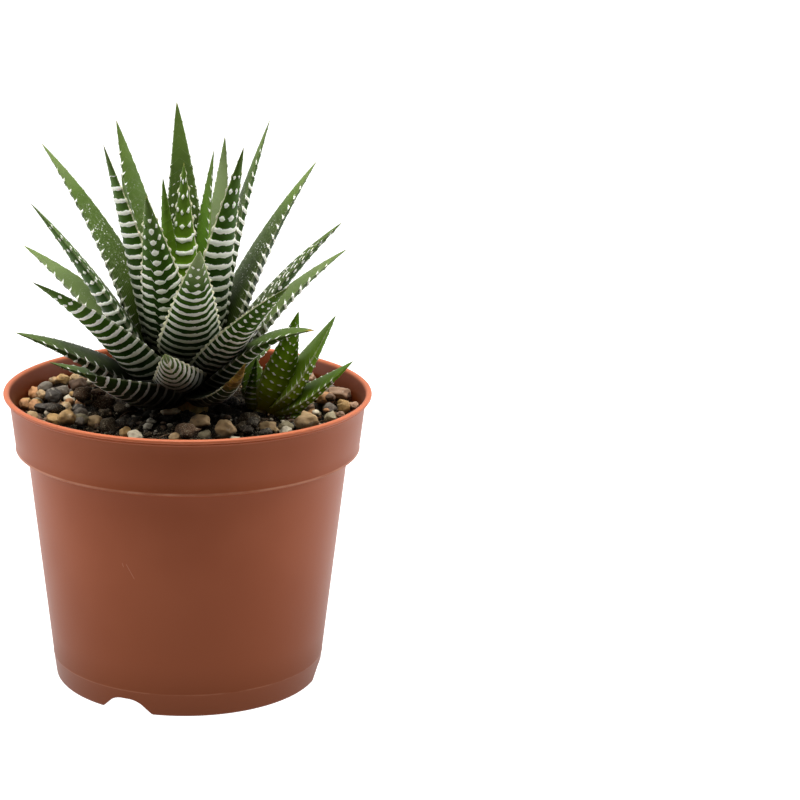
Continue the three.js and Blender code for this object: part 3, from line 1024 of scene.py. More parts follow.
@dataclass
class Leaf:
    """A pointed leaf along a spine that leans from one angle to another, keeled below and flat above."""

    name: str
    level: float
    compass: float
    lean_foot: float
    lean_tip: float
    length: float
    width: float
    twist: float
    marking: Marking = field(default_factory=Marking)

    widest_at: float = 0.25
    foot_width: float = 0.7
    taper_power: float = 0.85
    thickness: float = 0.55
    foot_thickening: float = 0.35
    crown_height: float = 0.1
    relief: float = 0.34
    tooth: float = 0.2
    twist_done_at: float = 0.4
    belly: Pair = (2.2, 0.75)
    around: int = 38
    outer_share: float = 0.74
    stations_per_mm: float = 2.6
    fewest_stations: int = 56
    most_stations: int = 200
    pattern: Pattern = field(default_factory=Pattern)

    def outline(self, along: Array) -> Array:
        """Half width along the leaf.

        Args:
            along: shares of its length.

        Returns:
            The half width at each, as a share of the widest.
        """
        rising = np.sin(math.pi / 2 * np.clip(along / self.widest_at, 0, 1))
        rising = self.foot_width + (1 - self.foot_width) * rising
        share = np.clip((along - self.widest_at) / (1 - self.widest_at), 0, 1)
        return np.where(along < self.widest_at, rising, (1 - share) ** self.taper_power)

    def spine(self, foot: Array, along: Array) -> Array:
        """Points of the spine, by the integral of its leaning direction.

        Args:
            foot: where the leaf starts.
            along: shares of its length.

        Returns:
            A row of x, y, z for each share.
        """
        start = math.radians(self.lean_foot)
        change = math.radians(self.lean_tip - self.lean_foot) or TINY
        lean = start + change * along
        out = (np.sin(lean) - math.sin(start)) / change * self.length
        up = (math.cos(start) - np.cos(lean)) / change * self.length
        compass = math.radians(self.compass)
        return foot + np.stack([out * math.cos(compass), out * math.sin(compass), up], -1)

    def axes(self, along: Array) -> tuple[Array, Array]:
        """Directions of the section.

        Args:
            along: shares of the length.

        Returns:
            The sideways and the upward direction at each share.
        """
        compass = math.radians(self.compass)
        lean = np.radians(self.lean_foot + (self.lean_tip - self.lean_foot) * along)
        level = np.cos(lean)
        tangent = np.stack([level * math.cos(compass), level * math.sin(compass), np.sin(lean)], -1)
        flat = np.broadcast_to([-math.sin(compass), math.cos(compass), 0.0], tangent.shape)
        level_up = np.cross(tangent, flat)
        turn = np.radians(self.twist) * np.clip(along / self.twist_done_at, 0, 1)[:, None]
        side = flat * np.cos(turn) + level_up * np.sin(turn)
        upper = level_up * np.cos(turn) - flat * np.sin(turn)
        return side, upper

    def row_count(self, along: Array) -> Array:
        """How many rows of markings lie below each share of the length; they are closer near the foot."""
        rows, crowding = self.length / self.marking.pitch, self.pattern.crowding
        return rows * ((1 + crowding) * along - crowding * along**2)

    def fields(self, along: Array, across: Array, outer: Array) -> dict[str, Array]:
        """The numbers that the markings are drawn from.

        Args:
            along: share of the length.
            across: from -1 at one margin to 1 at the other, along the skin.
            outer: 1 on the keeled outer face, 0 on the flat upper one.

        Returns:
            A field for each name that the finish reads.
        """
        mark, pattern = self.marking, self.pattern
        off = np.abs(across)
        if mark.wrap:
            outer = np.where(across > 1 - 2 * mark.wrap, 1.0, outer)
        blur = pattern.fade / 2
        drop = mark.shift * smoothstep(mark.seam - blur, mark.seam + blur, across)
        vee = mark.vee * np.where(across < 0, 1 - mark.lopsided, 1)
        outer_rows = self.row_count(along) + vee * (1 - off**pattern.bow_power) - drop
        upper_rows = self.row_count(along) - pattern.bow * (1 - off) - drop
        split = smoothstep(*mark.split, along)
        window = smoothstep(mark.begins, mark.begins + pattern.fade, along)
        window = window * smoothstep(mark.ends, mark.ends - pattern.fade, along)
        outer_reach = mark.thick * (pattern.thick_foot - pattern.thinning * along) * window
        if mark.bare:
            outer_reach = outer_reach * smoothstep(mark.bare - pattern.fade, mark.bare + pattern.fade, off)
        outer_reach = outer_reach * (1 - mark.one_sided * smoothstep(*pattern.far_side, across))
        if mark.column:
            aside = np.abs(across - mark.seam) / mark.column
            in_column = (aside < 1) & (outer > 0.5)
            outer_rows = np.where(in_column, self.row_count(along) + 0.5, outer_rows)
            oval = np.sqrt(np.clip(1 - (aside / pattern.oval_width) ** 2, 0, 1))
            oval = pattern.oval_reach * oval * window
            beside = outer_reach * smoothstep(*pattern.beside_column, aside)
            outer_reach = np.where(in_column, oval, beside)
            split = np.where(in_column, 0.0, split)
        near_margin = np.clip((off - pattern.tick_from) / pattern.tick_rise, 0, 1)
        ticks = np.where(across < 0, *mark.ticks) * pattern.tick_reach * near_margin
        ticks = ticks * smoothstep(mark.ticks_end, mark.ticks_end - pattern.fade, along)
        pale_zone = 1.0
        if mark.tone > 0:
            pale_zone = smoothstep(*pattern.pale_starts, along) * smoothstep(*pattern.pale_ends, along)
        dots_end = smoothstep(mark.ends - pattern.fade, mark.ends - pattern.dots_clear, along)
        dots = mark.inner_dots * pattern.dot_reach * smoothstep(*pattern.dots_start, along) * dots_end
        upper_reach = np.maximum(ticks, dots) * window
        upper_merge = np.where(ticks >= dots, 1.0, pattern.dot_merge)
        middle = smoothstep(*pattern.specks_start, along) * smoothstep(*pattern.specks_end, along)
        return {
            "along": along,
            "across": across,
            "wave": across * math.tau * mark.beads,
            "outer_side": outer,
            "rows": np.where(outer > 0.5, outer_rows, upper_rows),
            "reach": np.where(outer > 0.5, outer_reach, upper_reach),
            "merge": np.where(outer > 0.5, pattern.band_merge - pattern.merge_fall * split, upper_merge),
            "specks": mark.specks * (1 - outer) * middle,
            "margin": np.where(across < 0, *mark.margin),
            # Tone mixes the leaf's own waxy paleness with painted light and painted shade.
            "tone": mark.tone * pale_zone + mark.tip_tone * smoothstep(*pattern.tip_zone, along),
            "keel": mark.keel * smoothstep(*pattern.keel_zone, along),
            "dry": smoothstep(mark.dry_from - pattern.dry_blur, mark.dry_from + pattern.dry_blur, along),
        }

    def raised(self, fields: Mapping[str, Array]) -> Array:
        """Height of the markings, so that the relief follows their colour.

        Args:
            fields: the numbers that the markings are drawn from.

        Returns:
            The height at each point, from 0 to 1.
        """
        off_centre = np.abs(np.mod(fields["rows"], 1) - 0.5)
        beads = 0.5 + 0.5 * np.cos(fields["wave"])
        width = fields["reach"] * (fields["merge"] + (1 - fields["merge"]) * beads)
        return np.sqrt(np.clip((width - off_centre + self.pattern.spill) / self.pattern.slope, 0, 1))

    def build(self, crown: Crown, material: Material, slot: str) -> Obj:
        """Wraps a grid into the leaf's skin, raises its markings and dresses it.

        Args:
            crown: the growing point that it springs from.
            material: its skin.
            slot: not used.

        Returns:
            The leaf.
        """
        stations = self.length * self.stations_per_mm
        stations = int(np.clip(stations, self.fewest_stations, self.most_stations))
        deselect()
        bpy.ops.mesh.primitive_grid_add(x_subdivisions=self.around, y_subdivisions=stations, size=2)
        obj = newest(self.name.replace("leaf", "blade"))
        flat = points_of(obj)
        round_share = (flat[:, 0] + 1) / 2
        along = np.clip((flat[:, 1] + 1) / 2, 0, 1)
        outer = (round_share <= self.outer_share + TINY).astype(float)
        out_across = 2 * round_share / self.outer_share - 1
        in_across = 1 - 2 * (round_share - self.outer_share) / (1 - self.outer_share)
        across = np.clip(np.where(outer > 0.5, out_across, in_across), -1, 1)
        fields = self.fields(along, across, outer)

        half = self.width / 2 * self.outline(along)
        depth = self.thickness * half + self.foot_thickening * (1 - along)
        aside = np.where(outer > 0.5, np.sin(math.pi / 2 * across), across)
        below = depth * np.clip(1 - np.abs(aside) ** self.belly[0], 0, 1) ** self.belly[1]
        above = self.crown_height * half * (1 - aside**2)
        lift = np.where(outer > 0.5, -below, above)
        side, upper = self.axes(along)
        places = self.spine(crown.foot(self.level, self.compass), along)
        places = places + side * (aside * half)[:, None] + upper * lift[:, None]

        raised = self.raised(fields)
        slope_side = aside * depth
        slope_down = np.sqrt(np.clip(1 - aside**2, 0, 1)) * half + TINY
        size = np.hypot(slope_side, slope_down)
        away = (side * (slope_side / size)[:, None] - upper * (slope_down / size)[:, None]) * outer[:, None]
        away = away + upper * ((1 - outer) * self.pattern.upper_relief)[:, None]
        fade = smoothstep(*self.pattern.relief_ends, along)
        places = places + away * (self.relief * raised * fade)[:, None]
        ticks_end = self.marking.ticks_end
        toothed = np.minimum(np.where(across < 0, *self.marking.ticks), 1)
        toothed = toothed * smoothstep(ticks_end, ticks_end - self.pattern.fade, along)
        at_margin = smoothstep(*self.pattern.tooth_zone, np.abs(across)) * toothed
        places = places + side * (np.sign(across) * at_margin * raised * self.tooth * fade)[:, None]

        move_points(obj, places * MM)
        for name, values in fields.items():
            keep_field(obj, name, values)
        bpy.ops.object.mode_set(mode="EDIT")
        bpy.ops.mesh.select_all(action="SELECT")
        bpy.ops.mesh.remove_doubles(threshold=TINY)
        bpy.ops.mesh.select_all(action="DESELECT")
        bpy.ops.mesh.select_non_manifold()
        bpy.ops.mesh.edge_face_add()
        bpy.ops.mesh.select_all(action="SELECT")
        bpy.ops.mesh.normals_make_consistent(inside=False)
        bpy.ops.object.mode_set(mode="OBJECT")
        return dress(obj, material, [self.name])


@dataclass(frozen=True)
class Crown:
    """The growing point of a rosette, and the cone that its leaves spring from."""

    x: float
    y: float
    top: float
    drop: float
    inner: float
    spread: float

    def foot(self, level: float, compass: float) -> Array:
        """Where a leaf starts.

        Args:
            level: from 0 for the heart to 1 for the lowest leaves.
            compass: the way it points, in degrees.

        Returns:
            The place, in millimetres.
        """
        radius = self.inner + self.spread * level
        angle = math.radians(compass)
        x, y = self.x + radius * math.cos(angle), self.y + radius * math.sin(angle)
        return np.array([x, y, self.top - self.drop * level])


MAIN_CROWN = Crown(*ROSETTE_AXIS, top=98, drop=16, inner=1.5, spread=5.5)
OFFSET_CROWN = Crown(x=21.4, y=5, top=80, drop=3.4, inner=1, spread=2.6)


def run_of(*rows: tuple[float, str]) -> Stops:
    """A ramp's places and screen colours."""
    return tuple((place, hexed(code)) for place, code in rows)


YOUNG = LeafFinish(
    slot="young_leaf",
    outer=run_of((0, "746b1b"), (0.15, "5a7e11"), (0.45, "678d1b"), (0.8, "567321"), (1, "58712b")),
    upper=run_of((0, "627c1a"), (0.3, "56820e"), (0.7, "55791a"), (1, "5c7526")),
    shine=0.1,
)
# MATURE's ramps darken towards the leaf foot: partly the leaf's own olive base, partly painted shade among
# the leaf bases.
MATURE = LeafFinish(
    slot="mature_leaf",
    outer=run_of(
        (0, "54460f"), (0.12, "141f03"), (0.35, "183304"), (0.6, "33540c"), (0.85, "476420"), (1, "4c5e24")
    ),
    upper=run_of(
        (0, "3c3408"), (0.1, "333f06"), (0.25, "35490b"), (0.5, "3c5018"), (0.75, "475e20"), (1, "516626")
    ),
)
OFFSET = LeafFinish(
    slot="offset_leaf",
    outer=run_of((0, "73670c"), (0.2, "6e7e0a"), (0.6, "5e810d"), (1, "517716")),
    upper=run_of((0, "6f700c"), (0.3, "5b7407"), (0.7, "4e6b0a"), (1, "486514")),
    shine=0.05,
    shaded=0.2,
)


def leaf(name: str, *sizes: float, **marks: float | Pair) -> Leaf:
    """A leaf from its name, its seven sizes in the order of Leaf's fields, and its markings."""
    return Leaf(name, *sizes, marking=Marking(**marks))


def leaf_rows() -> list[Leaf]:
    """Lists the main rosette's leaves, from the heart outwards.

    Returns:
        The leaves.
    """
    both = (1, 1)
    return [
        leaf("heart_leaf_1", 0, 8, 86, 81, 56, 10.5, 22,
             split=(0.1, 0.3), bare=0.7, specks=0, tip_tone=-0.25),
        leaf("heart_leaf_2", 0, 210, 81, 85, 49, 9, 24, split=(0, 0.1), thick=0.1, bare=0.85, specks=0),
        leaf("heart_leaf_3", 0.15, 259, 88, 90, 55, 11.5, -6,
             pitch=3.6, split=(0.6, 0.7), ends=1.0, seam=0.6, thick=0.22, margin=both),
        leaf("inner_leaf_1", 0.3, 51, 69, 85, 64, 14, -6, ticks=(0, 0), specks=0.15, tone=0.26),
        leaf("inner_leaf_2", 0.35, 240, 68, 73, 55, 16.5, 16,
             pitch=2.75, vee=0.9, lopsided=0.85, seam=0.05, shift=0.45, thick=0.26, column=0.2,
             split=(0.56, 0.68), margin=both, tip_tone=0.05),
        leaf("inner_leaf_3", 0.35, 313, 75, 71.5, 68, 14.3, -6,
             pitch=3.5, vee=0.1, seam=-0.3, shift=0.1, split=(0.62, 0.72), thick=0.28, margin=both),
        leaf("middle_leaf_1", 0.42, 275, 56, 41, 57, 17.5, 6,
             pitch=2.95, vee=0.3, seam=0.42, shift=0.3, split=(0.62, 0.74), thick=0.27, margin=both,
             tip_tone=0.3),
        leaf("middle_leaf_2", 0.45, 103, 100, 68, 76, 16, -4,
             ticks=(0.8, 0.8), ticks_end=0.62, inner_dots=1.2, beads=3, ends=0.84, specks=0.1, tone=-0.04),
        leaf("middle_leaf_3", 0.5, 207, 74, 71, 70.3, 15, 7,
             pitch=3.05, vee=0, seam=-2, split=(0.84, 0.95), thick=0.25, ends=0.9, margin=(0.5, 1),
             tip_tone=0.06),
        leaf("middle_leaf_4", 0.55, 125.5, 69, 63, 74.6, 15.5, 1, ticks=(0, 1.3), specks=0.5),
        leaf("middle_leaf_5", 0.55, 34, 78, 64, 75, 14.5, -20,
             pitch=3.0, split=(0.7, 0.85), ticks=(1, 0), tone=-0.25, tip_tone=0.28),
        leaf("middle_leaf_6", 0.6, 80, 55, 45, 50, 14, 0),
        leaf("middle_leaf_7", 0.6, 167, 75, 78, 59.5, 14, -7),
        leaf("middle_leaf_8", 0.62, 262, 20, 31, 40, 14.8, 14,
             pitch=3.6, vee=2.0, seam=0, shift=0.1, split=(1.2, 1.4), thick=0.36, ends=0.95,
             tip_tone=0.25, margin=both, keel=1),
        leaf("middle_leaf_9", 0.65, 304, 47, 32, 57, 14, -7,
             pitch=2.5, vee=0.7, seam=-0.4, shift=0.3, thick=0.25, split=(0.5, 0.64), margin=both),
        leaf("outer_leaf_1", 0.7, 149, 68, 44, 78, 14.5, -8,
             pitch=3.1, ticks=(0, 1), specks=0.9, tone=-0.06, tip_tone=0.16),
        leaf("outer_leaf_2", 0.7, 34, 68, 43.5, 72.5, 17, -12,
             pitch=3.0, ticks=(1, 0), specks=0.6, tone=-0.38, tip_tone=0.44),
        leaf("outer_leaf_3", 0.75, 190, 62.5, 47, 66.3, 18.5, -5,
             pitch=3.4, vee=0, seam=0.7, shift=0, split=(0.5, 0.64), specks=1.2, thick=0.2,
             inner_dots=1.4, beads=3, wrap=0.2),
        leaf("outer_leaf_4", 0.75, 341, 63, 40, 65, 16.5, 18,
             pitch=3.0, seam=-0.5, shift=0.4, split=(0.45, 0.65), inner_dots=1.4, beads=2.5, ends=1.02,
             specks=0.9, thick=0.26, tone=-0.3, tip_tone=0.2),
        leaf("outer_leaf_5", 0.75, 112, 45, 35, 48, 14, 0),
        leaf("outer_leaf_6", 0.8, 12, 56, 29.5, 57, 15, 4,
             pitch=2.9, split=(0.7, 0.9), ticks=(1, 0), specks=0, tone=0.1, tip_tone=0.05),
        leaf("lower_leaf_1", 0.85, 225, 49, 27.5, 66, 16.5, 11,
             pitch=3.3, vee=0.1, seam=-2, split=(0.72, 0.82), thick=0.25, one_sided=0.8),
        leaf("lower_leaf_2", 0.85, 153, 51, 25, 60, 15.5, -10,
             pitch=3.1, ticks=(0, 1), specks=0.1, tone=0.09, tip_tone=0.08),
        leaf("lower_leaf_3", 0.85, 55, 35, 20, 44, 14, 0),
        leaf("lower_leaf_4", 0.9, 138, 30, 12, 38, 13, 0),
        leaf("lowest_leaf_1", 0.88, 233, 16.5, 24.5, 42.5, 16.4, 22,
             pitch=3.4, thick=0.17, split=(0.9, 1), tone=-0.62),
        leaf("lowest_leaf_2", 0.95, 321, 62, 6, 48.5, 16, 18,
             thick=0.15, dry_from=0.95, specks=0.4, tone=-0.25, tip_tone=0.2),
        leaf("lowest_leaf_3", 0.95, 200, 38, 16.5, 49.3, 17.5, -11,
             pitch=2.9, thick=0.2, specks=0.1, tone=-0.6, tip_tone=0.35),
        leaf("lowest_leaf_4", 0.95, 90, 25, 12, 44, 13, 0),
        leaf("lowest_leaf_5", 0.78, 292.5, 2, 48, 41, 12, 12,
             pitch=2.6, thick=0.09, split=(0.9, 1), dry_from=0.68, specks=0, tone=-0.6, margin=both),
        leaf("lowest_leaf_6", 1, 48, 20, 8, 32, 12, 0),
        leaf("lowest_leaf_7", 1, 172, 20, 10, 34, 12, 0),
    ]


def offset_rows() -> list[Leaf]:
    """Lists the offset's leaves, which are brighter and dotted.

    Returns:
        The leaves.
    """
    dotted = {"pitch": 2.3, "vee": 0.8, "split": (0, 0.02), "thick": 0.17, "ends": 0.66, "beads": 4,
              "ticks": (0.7, 0.7), "margin": (0.3, 0.3), "specks": 0}
    return [
        leaf("offset_leaf_1", 0.3, 325, 72, 70, 31, 16, -12,
             pitch=2.5, vee=1.4, inner_dots=1.1, beads=4, specks=0, split=(0, 0.02), thick=0.14),
        leaf("offset_leaf_2", 0.5, 345, 56, 57, 34.2, 16.5, 22, **dotted),
        leaf("offset_leaf_3", 0.6, 190, 90, 95, 15, 9, 0,
             pitch=1.7, thick=0.2, split=(0.2, 0.72), specks=0),
        leaf("offset_leaf_4", 0.7, 110, 60, 60, 20, 9, 0, **dotted),
        leaf("offset_leaf_5", 0.8, 346, 31, 39, 28.5, 13.5, 14,
             pitch=2.1, split=(0, 0.1), ends=0.8, beads=3, ticks=(0.7, 0.7), specks=0),
        leaf("offset_leaf_6", 1, 330, 3, 9, 14.5, 7, 0, pitch=1.6, split=(0, 0.1), specks=0),
    ]


# Soil and gravel


class Stone(Enum):
    """Colours of the gravel and of what lies among it."""

    OCHRE = hexed("b4905c")
    TAN = hexed("b5966c")
    ORANGE = hexed("bc895c")
    GREY = hexed("6f665a")
    SLATE = hexed("443e37")
    BROWN = hexed("745b46")
    CREAM = hexed("d9ccb0")
    PINK = hexed("a5846a")
    OLIVE = hexed("8f8468")
    BARK = hexed("5c4634")
    CLOD = hexed("463a2a")
    CHIP = hexed("cfc7b2")


@dataclass(frozen=True)
class Seen:
    """A stone that the photograph shows: its middle in the frame's pixels, its width, and its colour."""

    u: float
    v: float
    size: float
    colour: Stone
    tall: float = 0.8


SEEN_STONES = (
    Seen(63, 373, 4.9, Stone.PINK),
    Seen(76, 378, 4.6, Stone.TAN),
    Seen(37.6, 382, 5.4, Stone.GREY, 1.0),
    Seen(54, 381.5, 4.0, Stone.TAN),
    Seen(64, 383, 4.6, Stone.OCHRE),
    Seen(28.7, 393, 5.2, Stone.ORANGE),
    Seen(45.3, 388.5, 4.6, Stone.GREY),
    Seen(42, 394, 3.6, Stone.TAN),
    Seen(33.8, 400.5, 4.6, Stone.ORANGE),
    Seen(20.8, 402.5, 3.6, Stone.OCHRE),
    Seen(53.6, 398, 6.6, Stone.SLATE, 0.6),
    Seen(78, 385, 5.6, Stone.BARK),
    Seen(44, 410, 6.4, Stone.SLATE, 0.5),
    Seen(81.6, 414, 4.9, Stone.GREY, 1.0),
    Seen(53.8, 420, 4.6, Stone.OCHRE),
    Seen(67, 418, 5.4, Stone.OCHRE, 0.9),
    Seen(96.3, 423, 5.6, Stone.TAN, 0.85),
    Seen(80.4, 427.5, 3.4, Stone.GREY),
    Seen(126, 433, 3.8, Stone.OCHRE),
    Seen(134.5, 436, 4.4, Stone.CREAM),
    Seen(171, 411, 5.0, Stone.OLIVE),
    Seen(189.4, 404.5, 5.2, Stone.BROWN, 0.7),
    Seen(199.5, 422, 6.2, Stone.TAN, 0.75),
    Seen(224.6, 429.5, 6.0, Stone.TAN, 0.85),
    Seen(205.5, 436, 4.2, Stone.OLIVE),
    Seen(175.4, 438, 3.8, Stone.TAN),
    Seen(235.5, 436.5, 3.4, Stone.CREAM),
    Seen(267.4, 428, 5.2, Stone.TAN),
    Seen(284.6, 427, 4.6, Stone.OLIVE),
    Seen(286, 431, 3.6, Stone.CREAM),
    Seen(306, 424, 7.0, Stone.TAN, 0.8),
    Seen(308.8, 407.5, 4.0, Stone.PINK),
    Seen(297.5, 410, 2.8, Stone.PINK),
    Seen(324.8, 399, 5.8, Stone.ORANGE, 0.8),
    Seen(329, 405, 3.6, Stone.BROWN),
    Seen(341.4, 394, 7.2, Stone.PINK, 0.75),
    Seen(333, 391, 4.0, Stone.GREY),
    Seen(343.9, 408.5, 4.9, Stone.OCHRE, 1.0),
    Seen(354, 407, 3.0, Stone.PINK),
    Seen(330.5, 417.5, 4.8, Stone.OLIVE),
    Seen(341, 415, 3.0, Stone.PINK),
    Seen(321, 371, 5.4, Stone.TAN),
    Seen(314, 377, 5.0, Stone.PINK),
)

SEEN_CLODS = (
    Seen(83, 391, 6.5, Stone.BARK, 0.7),
    Seen(104.6, 405, 7.0, Stone.BARK, 0.8),
    Seen(98, 397, 5.0, Stone.BARK, 0.7),
    Seen(56, 409, 6.0, Stone.SLATE, 0.6),
    Seen(108, 427, 6.0, Stone.CLOD, 0.8),
    Seen(127, 409, 6.0, Stone.CLOD, 0.8),
    Seen(148, 426, 3.0, Stone.CHIP, 0.6),
    Seen(151, 421, 2.6, Stone.CHIP, 0.6),
    Seen(129, 405.5, 2.4, Stone.CHIP, 0.6),
    Seen(188, 432, 6.0, Stone.BARK, 0.8),
    Seen(248, 420, 7.0, Stone.CLOD, 0.7),
    Seen(245, 428, 6.0, Stone.CLOD, 0.7),
    Seen(222, 410, 6.0, Stone.CLOD, 0.7),
    Seen(253, 422, 4.0, Stone.SLATE, 0.7),
)


@dataclass
class Ground:
    """Soil that fills the pot to a lumpy top, gravel beds along the wall, and crumbs in the open middle."""

    pot: Pot
    singles: Sequence[str]
    height: float = 76.0
    mound: float = 2.2
    lump: float = 0.9
    gap: float = 0.4
    segments: int = 150
    rings: int = 52
    beds: tuple[tuple[str, float, float, float], ...] = (
        ("pebbles_left", 146.0, 208.0, 30.0),
        ("pebbles_right", -22.0, 43.0, 35.5),
        ("pebbles_back", 44.0, 145.0, 41.5),
    )
    brim: float = 83.4
    crease: float = 60.0
    gravel_colours: tuple[Stone, ...] = (
        Stone.TAN, Stone.OCHRE, Stone.PINK, Stone.GREY, Stone.BROWN, Stone.TAN, Stone.ORANGE, Stone.SLATE,
        Stone.OLIVE, Stone.CREAM,
    )
    dark_crumbs: tuple[Stone, ...] = (Stone.CLOD, Stone.BARK, Stone.CLOD, Stone.SLATE)
    light_crumbs: tuple[Stone, ...] = (Stone.CHIP, Stone.TAN, Stone.CREAM, Stone.BROWN)
    mound_edge: Pair = (30.0, 5.0)
    open_edge: Pair = (31.0, 24.0)
    front_depth: Pair = (18.0, 30.0)
    front_breadth: Pair = (28.0, 18.0)
    wear: float = 0.82
    tilt: float = 0.7
    spacing: float = 0.86
    bedding: float = 0.55
    most_rise: float = 0.8
    girth: float = 0.9
    underside_shade_edge: Pair = (0.6, 0.15)
    settle_steps: int = 6
    bare_beds: float = 0.8
    clear_of: float = 1.6
    keep_off: float = 0.8
    fibre_radius: float = 0.16
    fibre_bend: float = 2.4
    fibre_arch: float = 0.9
    fibre_rise: float = 0.7
    fibre_cuts: tuple[float, ...] = (0.0, -0.35, -0.2, 0.2, 0.35)
    bark_share: float = 0.7
    seed: int = 7

    def __post_init__(self) -> None:
        """Starts the seeded draw and the list of what is laid."""
        self.draw = np.random.default_rng(self.seed)
        self.laid: list[tuple[Array, float]] = []
        self.wall_reach = self.pot.inner_radius(self.height + 3)

    def top(self, x: Array | float, y: Array | float) -> Array:
        """Height of the soil without its crumbs.

        Args:
            x: places across.
            y: places in depth.

        Returns:
            The height at each place.
        """
        radius = np.hypot(x, y)
        open_soil = smoothstep(*self.open_edge, radius)
        front = smoothstep(*self.front_depth, -np.asarray(y)) * smoothstep(*self.front_breadth, np.abs(x))
        lumps = np.sin(0.55 * x + 1.3) * np.cos(0.62 * y) + 0.6 * np.sin(1.1 * x - 0.8 * y)
        mound = self.mound * smoothstep(*self.mound_edge, radius)
        return self.height + mound + self.lump * lumps * np.maximum(open_soil, front)

    def bed_at(self, x: float, y: float) -> str:
        """The gravel bed that a place lies on.

        Args:
            x: the place across.
            y: its depth.

        Returns:
            The bed's name, or nothing on the open soil.
        """
        angle, radius = math.degrees(math.atan2(y, x)) % 360, math.hypot(x, y)
        for name, start, stop, inner in self.beds:
            if radius > inner and (angle - start) % 360 < stop - start:
                return name
        return ""

    def spot(self, start: float, span: float, power: float) -> Pair:
        """Draws a place on a ring of the soil.

        Args:
            start: the ring's inner radius.
            span: its breadth.
            power: below 1 it draws more places near the outside.

        Returns:
            The place.
        """
        angle, share = self.draw.random() * math.tau, self.draw.random() ** power
        reach = start + span * share
        return reach * math.cos(angle), reach * math.sin(angle)

    def drawn(self, least: float, span: float) -> float:
        """Draws a number that lies at most a span above the least one."""
        return least + span * self.draw.random()

    def one_of(self, choices: Sequence) -> object:
        """Draws one of several."""
        return choices[int(self.draw.integers(len(choices)))]

    def rest_height(self, x: float, y: float, radius: float, tall: float) -> float:
        """Finds where a stone comes to rest on the soil or on what is laid.

        Args:
            x: the stone's place across.
            y: its depth.
            radius: its radius.
            tall: its height as a share of its width.

        Returns:
            The height of its middle.
        """
        height = float(self.top(x, y)) + self.bedding * radius * tall
        for (px, py, pz), other in self.laid:
            reach = (radius + other) * self.spacing
            apart = math.hypot(x - px, y - py)
            if apart < reach:
                height = max(height, pz + math.sqrt(reach**2 - apart**2) * min(tall, self.most_rise))
        return height

    def build_soil(self, finish: SoilFinish) -> Obj:
        """Turns the soil's body inside the pot and roughens its top.

        Args:
            finish: the soil's finish.

        Returns:
            The soil.
        """
        pot, gap = self.pot, self.gap
        bottom = pot.floor_height + pot.wall + gap
        rings = [
            (AXIS_RING, bottom),
            (pot.body_radius(bottom) - pot.wall - gap - 0.4, bottom),
            (pot.body_radius(36) - pot.wall - gap, 36),
            (pot.body_top_radius - pot.wall - gap, pot.ledge_height - 1),
            (pot.inner_radius(pot.ledge_height + 2) - gap, pot.ledge_height + 2.4),
            (pot.inner_radius(self.height) - gap, self.height - 0.6),
        ]
        edge = pot.inner_radius(self.height) - gap
        rings += [(edge * (1 - k / self.rings), self.height) for k in range(1, self.rings - 1)]
        rings.append((AXIS_RING, self.height))
        obj = turn_profile("soil_fill", rings, self.segments)
        places = points_of(obj) / MM
        on_top = places[:, 2] > self.height - 0.3
        x, y = places[on_top, 0], places[on_top, 1]
        coarse = [noise.fractal(Vector((a * 0.35, b * 0.35, 0)), 0.9, 2.1, 4) for a, b in zip(x, y)]
        fine = [abs(noise.noise(Vector((a * 1.3, b * 1.3, 4)))) for a, b in zip(x, y)]
        rough = np.array(coarse) * 0.75 + np.array(fine) * 0.9
        calm = smoothstep(edge, edge - 3, np.hypot(x, y))
        places[on_top, 2] = self.top(x, y) + rough * calm - 0.2
        move_points(obj, places * MM)
        return dress(obj, finish.make(), ["soil"])

    def stone_shapes(self, count: int, detail: int, rough: float, facets: int) -> list[Obj]:
        """Models a few stones to copy: a ball with flats worn on it and a soft unevenness.

        Args:
            count: how many to model.
            detail: subdivisions of the ball.
            rough: size of the unevenness as a share of the radius.
            facets: the number of worn flats.

        Returns:
            The stones, of radius 1 m.
        """
        shapes = []
        for i in range(count):
            deselect()
            bpy.ops.mesh.primitive_ico_sphere_add(subdivisions=detail, radius=1)
            obj = newest(f"shape_{i}")
            places = points_of(obj)
            for _ in range(facets):
                normal = self.draw.normal(size=3)
                normal /= np.linalg.norm(normal)
                level = self.drawn(least=0.62, span=0.25)
                over = np.clip(places @ normal - level, 0, None)
                places -= normal * (over * self.wear)[:, None]
            shift = Vector(self.draw.random(3) * 20)
            uneven = np.array([noise.fractal(Vector(p) * 1.1 + shift, 1.0, 2.0, 3) for p in places])
            places *= 1 + rough * uneven[:, None]
            move_points(obj, places)
            shapes.append(obj)
        return shapes

    def lay(self, shapes: Sequence[Obj], place: Array, size: Pair, colour: Stone) -> Laid:
        """Copies a shape to a place, turned and stretched by the draw.

        Args:
            shapes: what to copy from.
            place: where its middle goes.
            size: its radius, and its height as a share of its width.
            colour: its colour, which the draw makes lighter or darker.

        Returns:
            Its place and object.
        """
        radius, tall = size
        obj = bpy.data.objects.new("stone", self.one_of(shapes).data.copy())
        bpy.context.scene.collection.objects.link(obj)
        spin = Matrix.Rotation(self.draw.random() * math.tau, 4, "Z")
        tip = Matrix.Rotation((self.draw.random() - 0.5) * self.tilt, 4, "X")
        long = self.drawn(least=0.92, span=0.26)
        stretch = Matrix.Diagonal((radius * long * MM, radius / long * MM, radius * tall * MM, 1))
        obj.data.transform(Matrix.Translation(Vector(place) * MM) @ tip @ spin @ stretch)
        keep_colour(obj, "stone", tuple(np.array(colour.value) * self.drawn(least=0.82, span=0.36)))
        heights = points_of(obj)[:, 2]
        share = (heights - heights.min()) / np.ptp(heights)
        # Painted shade: the lower part of each stone and crumb is marked for darkening.
        keep_field(obj, "under", smoothstep(*self.underside_shade_edge, share))
        self.laid.append((np.array(place, float), radius))
        return place, obj

